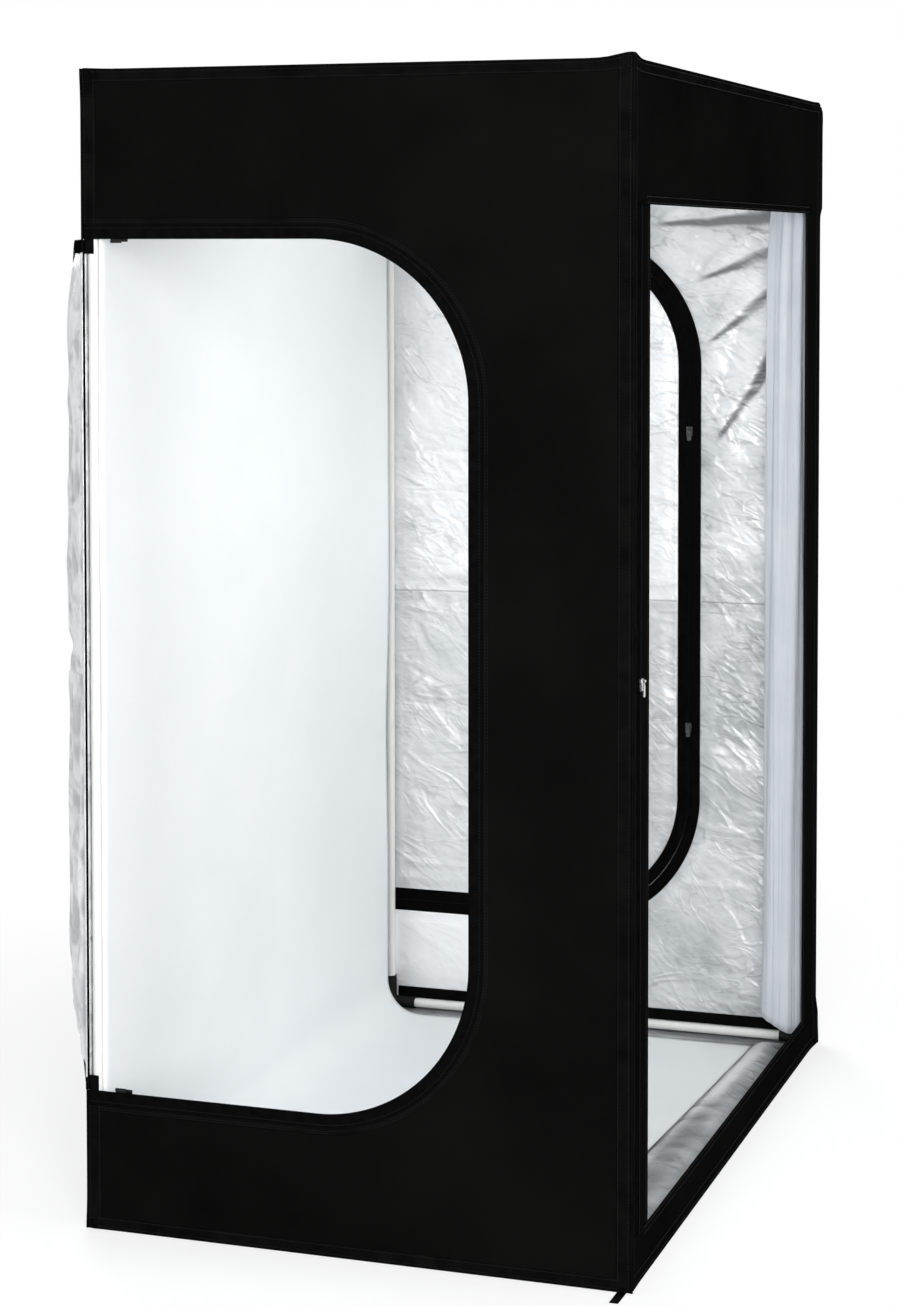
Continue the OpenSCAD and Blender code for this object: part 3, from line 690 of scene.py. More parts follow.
def wall_border(outline):
    """The wall's own edge, straight out from each point of the door's outline."""
    x, z = outline[:, 0], outline[:, 1]
    hub_z = np.clip(z, arc_low, arc_high)
    away_x = np.where(x > arc_x, x - arc_x, 0)
    away_z = z - hub_z
    room_z = np.where(away_z > 0, wall_high.z - arc_high, arc_low - wall_low.z)
    with np.errstate(divide="ignore", invalid="ignore"):
        stretch = np.fmin((half_w - arc_x) / away_x, room_z / np.abs(away_z))
    out_x = np.where(away_x > 1e-6, arc_x + away_x * stretch, x)
    return np.stack([out_x, hub_z + away_z * stretch], -1)


def corner_folds(x, z):
    """Four long folds in the lining towards the top corner of the open side, and their shaded undersides."""
    height = np.zeros_like(x)
    shade = np.zeros_like(x)
    for (start_x, start_z), (end_x, end_z) in (
        ((0.110, 1.748), (0.440, 1.792)), ((0.205, 1.625), (0.440, 1.730)),
        ((0.225, 1.480), (0.440, 1.675)), ((0.250, 1.265), (0.430, 1.560)),
    ):
        length = math.hypot(end_x - start_x, end_z - start_z)
        along = ((x - start_x) * (end_x - start_x) + (z - start_z) * (end_z - start_z)) / length
        above = ((z - start_z) * (end_x - start_x) - (x - start_x) * (end_z - start_z)) / length
        above = above + 0.004 * drift(x, z, 0.05, 771)
        width = 0.009 + 0.10 * np.clip(along, 0, length)
        reach = smooth(along / 0.06) * (1 - smooth((along - length) / 0.06))
        under = np.clip(1 - np.abs(above / width + 0.5) * 2, 0, 1)
        crest = np.where(above > 0, np.exp(-(above / (1.8 * width)) ** 2), np.clip(1 + above / width, 0, 1))
        height += 0.45 * width * crest * reach
        shade += under ** 0.5 * reach * (0.8 + 0.25 * drift(x, z, 0.04, 773))
    return height, shade


def packed_lining(x, z, seed):
    """Crumpled lining with level folds from being packed away. It lies flat where its lap seam crosses."""
    stand_off = lining_crumple(x, z, seed)
    for k, level in enumerate(packing_folds):
        bent = z - level - 0.006 * drift(x, z, 0.15, 780 + k)
        ridge = np.clip(1 - np.abs(bent) / 0.012, 0, 1)
        stand_off = stand_off + packing_fold_h * ridge * smooth(0.6 + drift(x, z, 0.2, 790 + k))
    return stand_off * smooth((np.abs(z - lap_seam_z) - lap_seam_w) / lap_seam_calm)


def lap_strip(name, start_x, end_x, face_y, outward, material=lining_foil):
    """The narrow lap that joins the lining's upper and lower cuts, turned under at its lower edge."""
    x, s = np.meshgrid(
        np.linspace(start_x, end_x, int((end_x - start_x) / panel_cell) + 1),
        np.linspace(-lap_seam_w / 2, lap_seam_w / 2, 7),
        indexing="ij",
    )
    z = lap_seam_z + s + 0.0012 * drift(x, s, 0.09, 795)
    lift = lap_seam_h * smooth(1.4 - 1.4 * s / lap_seam_w) + 0.0001
    y_face = np.full_like(x, face_y)
    outer = np.stack([x, y_face - outward * lift, z], -1)
    inner = np.stack([x, y_face + outward * cloth / 2, z], -1)
    piece = cloth_skin(name, outer, inner, np.stack([x, z], -1), (material,) * 3)
    shade = np.where(s < -0.25 * lap_seam_w, -lap_seam_shade, 0)
    piece.data.attributes["painted_shade_and_wear"].data.foreach_set("value", np.tile(shade.ravel(), 2).astype(np.float32))
    return piece


def door_wall(name, node, outward, seed):
    """A wall with the door hole, from the hole's taped edge out to its four sides."""
    inside_edge = door_outline(tape_w, -half_w)
    outside_edge = wall_border(inside_edge)
    share = np.linspace(0, 1, wall_strips + 1)[None, :, None]
    flat = inside_edge[:, None, :] * (1 - share) + outside_edge[:, None, :] * share
    x, z = flat[..., 0], flat[..., 1]
    face_y = outward * half_d
    points = np.stack([x, np.full_like(x, face_y), z], -1)
    from_hole = share[..., 0] * np.linalg.norm(outside_edge - inside_edge, axis=1)[:, None]
    edge = np.minimum.reduce([half_w - x, z - wall_low.z, wall_high.z - z])
    calm = smooth((edge - hem_flat) / hem_calm) * smooth(from_hole / hole_calm)
    drawn, shade = corner_folds(x, z)
    # The lining is taut between the door and the floor; there it is painted lighter.
    taut_and_painted_light = smooth((arc_x - x) / taut_fade[0]) * smooth((door_bottom - z) / taut_fade[1])
    relief = packed_lining(x, z, seed) * (1 - taut_calm * smooth(drawn / 0.004)) + drawn
    relief = relief * calm * (1 - taut_calm * taut_and_painted_light)
    ease = wall_ease * drift(x, z, 0.15, seed + 5) * calm
    push = np.array([0, outward, 0])
    outer = over_corners(points + ease[..., None] * push)
    inner = over_corners(points - (cloth + relief)[..., None] * push)
    # Painted shade: the lining is darker in its hollows and under the long folds, and it is darker below its
    # lap seam.
    tone = above_neighbours(relief) - corner_fold_shade * shade * calm
    tone = tone - below_seam_darkening[0] * smooth((lap_seam_z - z) / lap_seam_w)
    piece = cloth_skin(name, outer, inner, flat, cover_materials, tone)
    mark_taut_and_painted_light(piece, taut_and_painted_light)
    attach(piece, "tent")
    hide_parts(node)


door_wall("front_wall", "front_panel", -1, 500)
door_wall("back_wall", "back_panel", 1, 600)
for wall, outward in (("front", -1), ("back", 1)):
    lining_y = outward * (half_d - cloth)
    lap_start = chain_x + tape_w + seam_gap
    lap = lap_strip(wall + "_wall_lap", lap_start, half_w - hem_flat, lining_y, outward)
    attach(lap, "tent")

# Zips. A woven black tape is sewn round each door hole and each door, and another up the front band of
# the open side. Each carries half of a nylon coil, whose turns mesh with the other half's when shut.
coil_pitch = 0.0024
coil_turn = (0.0021, 0.0023, 0.0015)
coil_back = 0.0004
zip_gap = 0.0015
tape_gap = 0.0002
tape_strips = 8
tape_wave = 0.00025
side_tape_lift = 0.0004
door_hem_w = 0.012
door_hem_lap = 0.001
door_hem_h = 0.0009
stitch_rows = ((-0.006, 0.0004), (0.004, door_hem_h), (0.008, door_hem_h * 0.8))
stitch_pitch = 0.0055
stitch_size = (0.0040, 0.0008, 0.0007)
side_tape_low, side_tape_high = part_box("side_zip")

tape_tones = ((0.0022, 0.0022, 0.0023, 1), (0.0042, 0.0042, 0.0042, 1))
tape_thread = 0.0011
zip_tape, tree, shader, _ = mottled("zip_tape", no_gloss, 60, tape_tones, (0.55, 0.75))
emboss(tree, shader, woven(tree, tape_thread), 0.0004, 0.5)

coil_tones = ((0.002, 0.002, 0.002, 1), (0.005, 0.005, 0.005, 1))
coil_gloss = {"Specular IOR Level": 0.05}
coil_nylon = mottled("coil_nylon", coil_gloss, 90, coil_tones, (0.45, 0.6))[0]

row_tree = bpy.data.node_groups.new("row_of_turns", "GeometryNodeTree")
row_inputs = (
    ("Geometry", "NodeSocketGeometry"), ("Pitch", "NodeSocketFloat"), ("Size", "NodeSocketVector"),
    ("Facing", "NodeSocketVector"), ("Material", "NodeSocketMaterial"),
)
for label, kind in row_inputs:
    row_tree.interface.new_socket(label, in_out="INPUT", socket_type=kind)
row_tree.interface.new_socket("Geometry", in_out="OUTPUT", socket_type="NodeSocketGeometry")
row_in = add_node(row_tree, "NodeGroupInput")
row_out = add_node(row_tree, "NodeGroupOutput")
row_path = add_node(row_tree, "GeometryNodeMeshToCurve")
row_steps = add_node(row_tree, "GeometryNodeResampleCurve", mode="LENGTH")
row_along = add_node(row_tree, "GeometryNodeInputTangent")
row_turn = add_node(row_tree, "FunctionNodeAlignRotationToVector", axis="X")
row_face = add_node(row_tree, "FunctionNodeAlignRotationToVector", axis="Z", pivot_axis="X")
row_bead = add_node(row_tree, "GeometryNodeMeshUVSphere", {"Segments": 6, "Rings": 3, "Radius": 0.55})
row_place = add_node(row_tree, "GeometryNodeInstanceOnPoints")
row_real = add_node(row_tree, "GeometryNodeRealizeInstances")
row_soft = add_node(row_tree, "GeometryNodeSetShadeSmooth")
row_paint = add_node(row_tree, "GeometryNodeSetMaterial")
for source, target in (
    (row_in.outputs["Geometry"], row_path.inputs["Mesh"]),
    (row_path.outputs["Curve"], row_steps.inputs["Curve"]),
    (row_in.outputs["Pitch"], row_steps.inputs["Length"]),
    (row_along.outputs["Tangent"], row_turn.inputs["Vector"]),
    (row_turn.outputs["Rotation"], row_face.inputs["Rotation"]),
    (row_in.outputs["Facing"], row_face.inputs["Vector"]),
    (row_steps.outputs["Curve"], row_place.inputs["Points"]),
    (row_bead.outputs["Mesh"], row_place.inputs["Instance"]),
    (row_face.outputs["Rotation"], row_place.inputs["Rotation"]),
    (row_in.outputs["Size"], row_place.inputs["Scale"]),
    (row_place.outputs["Instances"], row_real.inputs["Geometry"]),
    (row_real.outputs["Geometry"], row_soft.inputs["Geometry"]),
    (row_soft.outputs["Geometry"], row_paint.inputs["Geometry"]),
    (row_in.outputs["Material"], row_paint.inputs["Material"]),
    (row_paint.outputs["Geometry"], row_out.inputs["Geometry"]),
):
    row_tree.links.new(source, target)


def row_of(name, paths, pitch, size, facing, material):
    """Small rounded turns along paths on cloth that faces facing, as in a coil or a row of stitches."""
    points, edges = [], []
    for path in paths:
        edges += [(len(points) + k, len(points) + k + 1) for k in range(len(path) - 1)]
        points += [tuple(point) for point in path]
    mesh = bpy.data.meshes.new(name)
    mesh.from_pydata(points, edges, [])
    piece = bpy.data.objects.new(name, mesh)
    bpy.context.scene.collection.objects.link(piece)
    modifier = piece.modifiers.new("row", "NODES")
    modifier.node_group = row_tree
    values = {"Pitch": pitch, "Size": size, "Facing": facing, "Material": material}
    for socket in row_tree.interface.items_tree:
        if socket.in_out == "INPUT" and socket.name in values:
            modifier[socket.identifier] = values[socket.name]
    graph = bpy.context.evaluated_depsgraph_get()
    made = bpy.data.meshes.new_from_object(piece.evaluated_get(graph), depsgraph=graph)
    piece.modifiers.remove(modifier)
    piece.data = made
    return piece


thread_tones = ((0.004, 0.004, 0.004, 1), (0.011, 0.011, 0.011, 1))
thread_gloss = {"Specular IOR Level": 0.2}
thread_black = mottled("thread_black", thread_gloss, 400, thread_tones, (0.45, 0.65))[0]


def door_tape(name, grow_in, grow_out, start, outward):
    """A zip tape laid round a door's D between two outlines, in the plane of the wall."""
    first, last = door_outline(grow_in, start), door_outline(grow_out, start)
    share = np.linspace(0, 1, tape_strips + 1)[None, :, None]
    flat = first[:, None, :] * (1 - share) + last[:, None, :] * share
    wave = tape_wave * drift(flat[..., 0], flat[..., 1], 0.05, 31)
    face_y = np.full(flat.shape[:2], outward * half_d) + wave
    run = np.concatenate([[0], np.cumsum(np.linalg.norm(np.diff(first, axis=0), axis=1))])
    along = np.broadcast_to(run[:, None], face_y.shape)
    across = np.broadcast_to(share[..., 0] * tape_w, face_y.shape)
    cut = np.stack([along, across], -1)
    outer = np.stack([flat[..., 0], face_y, flat[..., 1]], -1)
    inner = np.stack([flat[..., 0], face_y - outward * cloth, flat[..., 1]], -1)
    return cloth_skin(name, outer, inner, cut, (zip_tape,) * 3)


def door_coil(name, grow, start, outward):
    """Half of a door's coil, on the tent side of its tape."""
    line = door_outline(grow, start)
    lift = outward * (half_d - cloth) - outward * coil_turn[2] / 2
    path = np.stack([line[:, 0], np.full(len(line), lift), line[:, 1]], -1)
    return row_of(name, [path], coil_pitch, coil_turn, (0, -outward, 0), coil_nylon)


def door_hem(name, way, start, outward):
    """The cover's folded edge over a zip tape, on the outer face. way is 1 on the wall and -1 on the door."""
    first = door_outline(way * (tape_w - door_hem_lap), start)
    last = door_outline(way * (tape_w + (door_hem_w - door_hem_lap)), start)
    share = np.linspace(0, 1, 7)[None, :, None]
    flat = first[:, None, :] * (1 - share) + last[:, None, :] * share
    x, z = flat[..., 0], flat[..., 1]
    swell = door_hem_h * (1 - (2 * share[..., 0] - 1) ** 4) * (1 + 0.3 * drift(x, z, 0.03, 35)) + 0.0001
    outer = np.stack([x, outward * (half_d + swell), z], -1)
    inner = np.stack([x, np.full_like(x, outward * (half_d - cloth / 2)), z], -1)
    return cloth_skin(name, outer, inner, flat, (cover_cloth,) * 3)


def door_stitches(name, way, start, outward):
    """Rows of lockstitch round a door's D on the outer face. way is 1 on the wall and -1 on the door."""
    paths = []
    for past_tape, lift in stitch_rows:
        line = door_outline(way * (tape_w + past_tape), start)
        paths.append(np.stack([line[:, 0], np.full(len(line), outward * (half_d + lift)), line[:, 1]], -1))
    return row_of(name, paths, stitch_pitch, stitch_size, (0, outward, 0), thread_black)


half_coil = zip_gap / 2 + coil_back
for wall, outward in (("front", -1), ("back", 1)):
    tape = door_tape(wall + "_wall_tape", tape_gap / 2, tape_w, -half_w, outward)
    coil = door_coil(wall + "_wall_coil", half_coil, -half_w, outward)
    hem = door_hem(wall + "_wall_hem", 1, -half_w + seam_gap, outward)
    stitches = door_stitches(wall + "_wall_stitches", 1, -half_w + seam_gap, outward)
    for piece, slot in (
        (tape, "zip_tape"), (coil, "zip_tape"), (hem, "cover_cloth"), (stitches, "trim_cloth"),
    ):
        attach(piece, "tent")
    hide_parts(wall + "_panel_zip")

side_chain = sum(corner.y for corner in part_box("side_slider")) / 2
side_y, side_z = np.meshgrid(
    np.linspace(side_tape_low.y, side_chain - zip_gap / 2, tape_strips + 1),
    np.linspace(side_tape_low.z, side_tape_high.z, 170),
    indexing="ij",
)
side_wave = side_tape_lift * (1 + drift(side_y, side_z, 0.05, 33))
side_outer = np.stack([half_w + cloth + side_wave, side_y, side_z], -1)
side_inner = np.stack([np.full_like(side_y, half_w + 0.0001), side_y, side_z], -1)
side_tape = cloth_skin("side_tape", side_outer, side_inner, np.stack([side_z, side_y], -1), (zip_tape,) * 3)
side_line_x = half_w + cloth + coil_turn[2] / 2
side_line = [(side_line_x, side_chain - half_coil, z) for z in (side_tape_low.z, side_tape_high.z)]
side_coil = row_of("side_coil", [side_line], coil_pitch, coil_turn, (1, 0, 0), coil_nylon)
for piece in (side_tape, side_coil):
    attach(piece, "tent")
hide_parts("side_zip")

# Doors. Each flap is cut to the D, lined, edged with its half of the zip, and sewn at its straight side
# into a sleeve that turns on the corner's piping. The front one stands open and hangs in soft folds.
welt_low, welt_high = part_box("front_left_welt")
hinge = Vector(((welt_low.x + welt_high.x) / 2, (welt_low.y + welt_high.y) / 2, 0))
welt_r = (welt_high.x - welt_low.x) / 2
flap_root = -half_w + 0.012
swing = next(joint for joint in frame["joints"] if joint["name"] == "front_door_swing")
door_open = math.radians(swing["range_deg"][1])
front_turn = Matrix.Translation(hinge) @ Matrix.Rotation(-door_open, 4, "Z") @ Matrix.Translation(-hinge)
flap_columns = 100
flap_calm = 0.03
fold_depth = 0.009
fold_pitch = 0.210
fold_lean = 0.05
fold_fade = 0.110
shut_bow = 0.0012
shut_fade = 0.05
hung_crumple = 0.005
flap_stain = 2.0
zip_side_shade = 1.2
taut_share = 0.6
sleeve_reach = 0.014
sleeve_gap = 0.00005
sleeve_darkening = 1.6
sleeve_ruck = 0.10


def flap_grid():
    """Rows across a flap from its hinge side to its taped edge, from the bottom up."""
    edge = door_outline(-tape_w, flap_root)
    free = edge[:, 0] > arc_x - 1e-6
    edge = edge[free][::-1]
    share = np.linspace(0, 1, flap_columns + 1)[None, :]
    x = flap_root + (edge[:, :1] - flap_root) * share
    z = np.broadcast_to(edge[:, 1:], x.shape)
    return x, z


def dull_patches(x, z, seed):
    """Values from -1 to 1 for worn foil, in slanting patches that are longer across a flap than up it."""
    u = 0.35 * x + 0.25 * z + 0.03 * drift(x, z, 0.07, seed)
    v = z - 0.20 * x + 0.03 * drift(x, z, 0.05, seed + 1)
    return 0.6 * drift(u, v, 0.04, seed + 2) + 0.4 * drift(v, u, 0.017, seed + 3)


def door_flap(name, outward, seed, folds):
    """A lined flap in the closed place of its wall. folds bends both faces."""
    x, z = flap_grid()
    from_side = np.minimum(x - flap_root, x[:, -1:] - x)
    from_end = np.minimum(z - z[0, 0], z[-1, 0] - z)
    bend = folds(x, z, from_side, from_end)
    calm = smooth(from_side / flap_calm) * smooth(from_end / flap_calm)
    relief = packed_lining(x, z, seed) * calm * (taut_share if outward > 0 else 1)
    if outward < 0:
        off_seam = smooth((np.abs(z - lap_seam_z) - lap_seam_w) / lap_seam_calm)
        relief = relief + hung_crumple * creases(x, z, 0.060, 0, 0.35, 3, seed + 60) * calm * off_seam
    face_y = outward * half_d
    outer = np.stack([x, face_y + bend, z], -1)
    inner = np.stack([x, face_y + bend - outward * (cloth + relief), z], -1)
    # Painted shade: the lining is darker in its hollows.
    tone = above_neighbours(relief)
    if outward < 0:
        tone = tone - flap_stain * smooth(0.3 + 1.3 * dull_patches(x, z, seed + 61))
    else:
        # The back door's lining is darker below its lap seam, and more so towards its zip side, where the
        # extra darkness is painted shade.
        darkening = 1 + zip_side_shade * smooth((x + 0.10) / 0.25)
        tone = tone - below_seam_darkening[1] * darkening * smooth((lap_seam_z - z) / lap_seam_w)
    flap_materials = (cover_cloth, door_foil, binding_cloth)
    return cloth_skin(name, outer, inner, np.stack([x, z], -1), flap_materials, tone)


def open_folds(x, z, from_side, from_end):
    """The upright folds that the open door hangs in."""
    fade = smooth(from_side / fold_fade) * smooth(from_end / fold_fade)
    return fold_depth * fade * np.sin(2 * math.pi * (x + half_w + fold_lean * z) / fold_pitch)


def bend_with_folds(piece):
    """Moves a piece on the front flap out to the folds that the flap hangs in."""
    count = len(piece.data.vertices)
    points = np.zeros(count * 3, np.float32)
    piece.data.vertices.foreach_get("co", points)
    points = points.reshape(-1, 3)
    x, z = points[:, 0].astype(float), points[:, 2].astype(float)
    from_side = np.minimum(x - flap_root, chain_x - tape_w - x)
    points[:, 1] += open_folds(x, z, from_side, np.full(count, fold_fade))
    piece.data.vertices.foreach_set("co", points.ravel())
    piece.data.update()


def shut_folds(x, z, from_side, from_end):
    """A shut door is taut, with a slight bow."""
    return shut_bow * drift(x, z, 0.16, 41) * smooth(from_side / shut_fade) * smooth(from_end / shut_fade)


def hinge_sleeve(name, outward):
    """The cloth tube along a door's hinge side: round the piping and flat back to the flap."""
    middle_r = welt_r + sleeve_gap + cloth / 2
    root = math.asin((cloth / 2 + 0.0001) / middle_r)
    turns = np.linspace(root, 2 * math.pi - root, 25)
    ring = np.stack([middle_r * np.cos(turns), middle_r * np.sin(turns)], -1)
    lead = np.linspace(sleeve_reach, ring[0, 0], 6)[:-1]
    lead_in = np.stack([lead, np.full_like(lead, ring[0, 1])], -1)
    lead_out = np.stack([lead[::-1], np.full_like(lead, ring[-1, 1])], -1)
    path = np.concatenate([lead_in, ring, lead_out])
    along = np.gradient(path, axis=0)
    normal = np.stack([along[:, 1], -along[:, 0]], -1) / np.linalg.norm(along, axis=1)[:, None]
    rows = np.linspace(door_bottom + zip_gap / 2, door_top - zip_gap / 2, 200)
    ruck = 1 + sleeve_ruck * np.sin(rows * 900) * drift(rows, rows * 0, 0.04, 51)
    skins = []
    for side in (1, -1):
        flat = path + side * normal * cloth * 0.46
        swell = ruck[:, None] if side > 0 else 1
        grid = np.zeros((len(rows), len(path), 3))
        grid[..., 0] = hinge.x + flat[None, :, 0] * swell
        grid[..., 1] = outward * -hinge.y + flat[None, :, 1] * swell
        grid[..., 2] = rows[:, None]
        skins.append(grid)
    cut = np.stack(np.meshgrid(rows, np.arange(len(path)) * 0.001, indexing="ij"), -1)
    piece = cloth_skin(name, skins[0], skins[1], cut, (binding_cloth, door_foil, binding_cloth))
    for face in piece.data.polygons:
        out = (face.center.y + outward * hinge.y) * outward
        between_tapes = door_bottom + tape_w < face.center.z < door_top - tape_w
        face.material_index = 1 if out < 0 and between_tapes else 0
    # The sleeve's lining is darker all over.
    darkening = np.full(len(piece.data.vertices), -sleeve_darkening, np.float32)
    piece.data.attributes["painted_shade_and_wear"].data.foreach_set("value", darkening)
    return piece


flap_edge_x = chain_x - tape_w
for wall, outward, folds, seed in (("front", -1, open_folds, 700), ("back", 1, shut_folds, 800)):
    body = wall + "_door"
    flap = door_flap(wall + "_door_flap", outward, seed, folds)
    tape = door_tape(wall + "_door_tape", -tape_gap / 2, -tape_w, flap_root, outward)
    coil = door_coil(wall + "_door_coil", -half_coil, flap_root, outward)
    sleeve = hinge_sleeve(wall + "_door_sleeve", outward)
    hem = door_hem(wall + "_door_hem", -1, flap_root + seam_gap, outward)
    stitches = door_stitches(wall + "_door_stitches", -1, flap_root + seam_gap, outward)
    lining_y = outward * (half_d - cloth)
    lap_ends = (flap_root + seam_gap, flap_edge_x - seam_gap)
    lap = lap_strip(wall + "_door_lap", *lap_ends, lining_y, outward, door_foil)
    if wall == "front":
        bend_with_folds(lap)
    for piece, node, slot in (
        (flap, wall + "_flap", "cover_cloth"), (tape, wall + "_flap_zip", "zip_tape"),
        (coil, None, "zip_tape"), (sleeve, wall + "_flap_sleeve", "trim_cloth"),
        (hem, None, "cover_cloth"), (stitches, None, "trim_cloth"), (lap, None, "cover_cloth"),
    ):
        if wall == "front":
            piece.data.transform(front_turn)
        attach(piece, body)
        if node:
            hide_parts(node)

# Piping and bindings. A covered cord runs up each corner and round the top and bottom, and flat black
# binding is sewn over the seams beside it on all four walls.
loop_bend = 0.012
path_step = 0.015
strip_step = 0.020
binding_w = 0.024
binding_crown = 0.0009
binding_base = 0.0005
binding_in = 0.003
hem_w = 0.020
hem_in = 0.002
hem_short = 0.004
opening_hem_w = 0.016
left_edge_in = 0.004
right_edge_in = 0.001
stitch_inset = 0.003


def piping(name, paths):
    """Covered cord along open or closed paths, as one mesh."""
    curve = bpy.data.curves.new(name, "CURVE")
    curve.dimensions = "3D"
    curve.bevel_depth = welt_r
    curve.bevel_resolution = 3
    curve.use_fill_caps = True
    for path, closed in paths:
        path = over_corners(np.array(path))
        spline = curve.splines.new("POLY")
        spline.points.add(len(path) - 1)
        places = np.column_stack([path, np.ones(len(path))]).astype(np.float32)
        spline.points.foreach_set("co", places.ravel())
        spline.use_cyclic_u = closed
        spline.use_smooth = True
    holder = bpy.data.objects.new(name + "_path", curve)
    bpy.context.scene.collection.objects.link(holder)
    graph = bpy.context.evaluated_depsgraph_get()
    mesh = bpy.data.meshes.new_from_object(holder.evaluated_get(graph), depsgraph=graph)
    bpy.data.objects.remove(holder)
    mesh.materials.clear()
    mesh.materials.append(binding_cloth)
    piece = bpy.data.objects.new(name, mesh)
    bpy.context.scene.collection.objects.link(piece)
    return piece


def upright_path(x, y):
    """Straight up one corner of the tent."""
    return [(x, y, z) for z in np.linspace(0, tent_h, 120)]


def loop_path(z, out):
    """Round the tent at one height, with small bends at the corners."""
    points = []
    for sx, sy, first in ((1, -1, -90), (1, 1, 0), (-1, 1, 90), (-1, -1, 180)):
        for angle in np.radians(np.linspace(first, first + 90, 6)):
            x = sx * (half_w + out - loop_bend) + loop_bend * math.cos(angle)
            y = sy * (half_d + out - loop_bend) + loop_bend * math.sin(angle)
            points.append(np.array([x, y, z]))
    dense = []
    for start, end in zip(points, points[1:] + points[:1]):
        steps = max(1, int(math.dist(start, end) / path_step))
        dense += [start + (end - start) * k / steps for k in range(steps)]
    return dense


for name, node, places in (
    ("front_left_piping", "front_left_welt", [(hinge.x, hinge.y)]),
    ("back_left_piping", "back_left_welt", [(hinge.x, -hinge.y)]),
    ("right_piping", "right_welts", [(-hinge.x, hinge.y), (-hinge.x, -hinge.y)]),
):
    cord = piping(name, [(upright_path(*place), False) for place in places])
    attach(cord, "tent")
    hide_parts(node)
for name, z in (("top_piping", tent_h - welt_r / 2), ("bottom_piping", welt_r)):
    cord = piping(name, [(loop_path(z, welt_r / 2), True)])
    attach(cord, "tent")


def ribbon(name, start, end, width, facing, crown=binding_crown):
    """A flat strip of binding from start to end, domed a little, on cloth that faces facing."""
    start, end, facing = (np.array(v, float) for v in (start, end, facing))
    length = np.linalg.norm(end - start)
    along = (end - start) / length
    across = np.cross(facing, along)
    t = np.linspace(0, length, max(3, int(length / strip_step)))
    s = np.linspace(-width / 2, width / 2, 9)
    t, s = np.meshgrid(t, s, indexing="ij")
    dome = crown * (1 - (2 * s / width) ** 2) * (1 + 0.25 * drift(t, s, 0.05, 61)) + binding_base
    base = start + along * t[..., None] + across * s[..., None]
    outer = over_corners(base + facing * dome[..., None])
    inner = over_corners(base - facing * 0.0002)
    return cloth_skin(name, outer, inner, np.stack([t, s], -1), (binding_cloth,) * 3)


def joined(name, parts):
    """Several meshes made into one piece."""
    with bpy.context.temp_override(active_object=parts[0], selected_editable_objects=parts):
        bpy.ops.object.join()
    parts[0].name = name
    return parts[0]


def sewn_strips(name, runs, facing):
    """Flat strips on one wall, each with a line of lockstitch along both edges.

    A run is a strip's start, end and width.
    """
    facing = np.array(facing, float)
    strips, seams = [], []
    for start, end, width in runs:
        start, end = np.array(start, float), np.array(end, float)
        strips.append(ribbon("strip", start, end, width, facing))
        length = np.linalg.norm(end - start)
        along = (end - start) / length
        lift = binding_base + binding_crown * (1 - (1 - 2 * stitch_inset / width) ** 2)
        for edge in (-1, 1):
            offset = np.cross(facing, along) * edge * (width / 2 - stitch_inset) + facing * lift
            t = np.linspace(stitch_inset, length - stitch_inset, max(2, int(length / strip_step)))
            seams.append(over_corners(start + along * t[:, None] + offset))
    piece = joined(name, strips)
    stitches = row_of(name + "_stitches", seams, stitch_pitch, stitch_size, tuple(facing), thread_black)
    for part in (piece, stitches):
        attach(part, "tent")


def wall_runs(facing, side, reach, gap):
    """Where one wall's bindings lie: up both edges and along top and bottom.

    gap is the door's span of the hinge edge, which stays bare.
    """
    facing, side = np.array(facing, float), np.array(side, float)
    face = facing * (half_d if facing[1] else half_w)
    up = np.array([0, 0, 1.0])
    runs = []
    for end in (-1, 1):
        inset = face + side * end * (reach - binding_w / 2)
        spans = [(binding_in, tent_h - binding_in)]
        if gap is not None and end < 0:
            spans = [(binding_in, gap[0]), (gap[1], tent_h - binding_in)]
        runs += [(inset + up * low, inset + up * high, binding_w) for low, high in spans]
    half_hem = side * (reach - hem_short)
    for z in (hem_w / 2 + hem_in, tent_h - hem_w / 2 - hem_in):
        runs.append((face - half_hem + up * z, face + half_hem + up * z, hem_w))
    return runs


def opening_runs():
    """The hems of the open side: under the header, on the sill and down the two stiles."""
    front_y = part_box("side_front_stile")[1].y - opening_hem_w / 2
    rear_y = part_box("side_rear_stile")[0].y + opening_hem_w / 2
    head_z, sill_z = header_low + opening_hem_w / 2, sill_high - opening_hem_w / 2
    return [
        ((half_w, front_y - opening_hem_w, head_z), (half_w, rear_y + opening_hem_w, head_z), opening_hem_w),
        ((half_w, front_y - opening_hem_w, sill_z), (half_w, rear_y + opening_hem_w, sill_z), opening_hem_w),
        ((half_w, front_y, sill_high), (half_w, front_y, header_low), opening_hem_w),
        ((half_w, rear_y, sill_high), (half_w, rear_y, header_low), opening_hem_w),
    ]


door_span = (door_bottom - tape_w, door_top + tape_w)
sewn_strips("front_bindings", wall_runs((0, -1, 0), (1, 0, 0), half_w, door_span), (0, -1, 0))
sewn_strips("back_bindings", wall_runs((0, 1, 0), (1, 0, 0), half_w, door_span), (0, 1, 0))
sewn_strips("left_bindings", wall_runs((-1, 0, 0), (0, 1, 0), half_d - left_edge_in, None), (-1, 0, 0))
right_runs = wall_runs((1, 0, 0), (0, 1, 0), half_d - right_edge_in, None) + opening_runs()
sewn_strips("right_bindings", right_runs, (1, 0, 0))

back_hem_z = 0.034
back_hem_w = 0.024
back_hem_end = half_w - 0.0275
back_hem_y = half_d - cloth - 0.002
back_hem_ends = [(end * back_hem_end, back_hem_y, back_hem_z) for end in (-1, 1)]
back_hem = ribbon("back_hem", *back_hem_ends, back_hem_w, (0, -1, 0))
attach(back_hem, "tent")

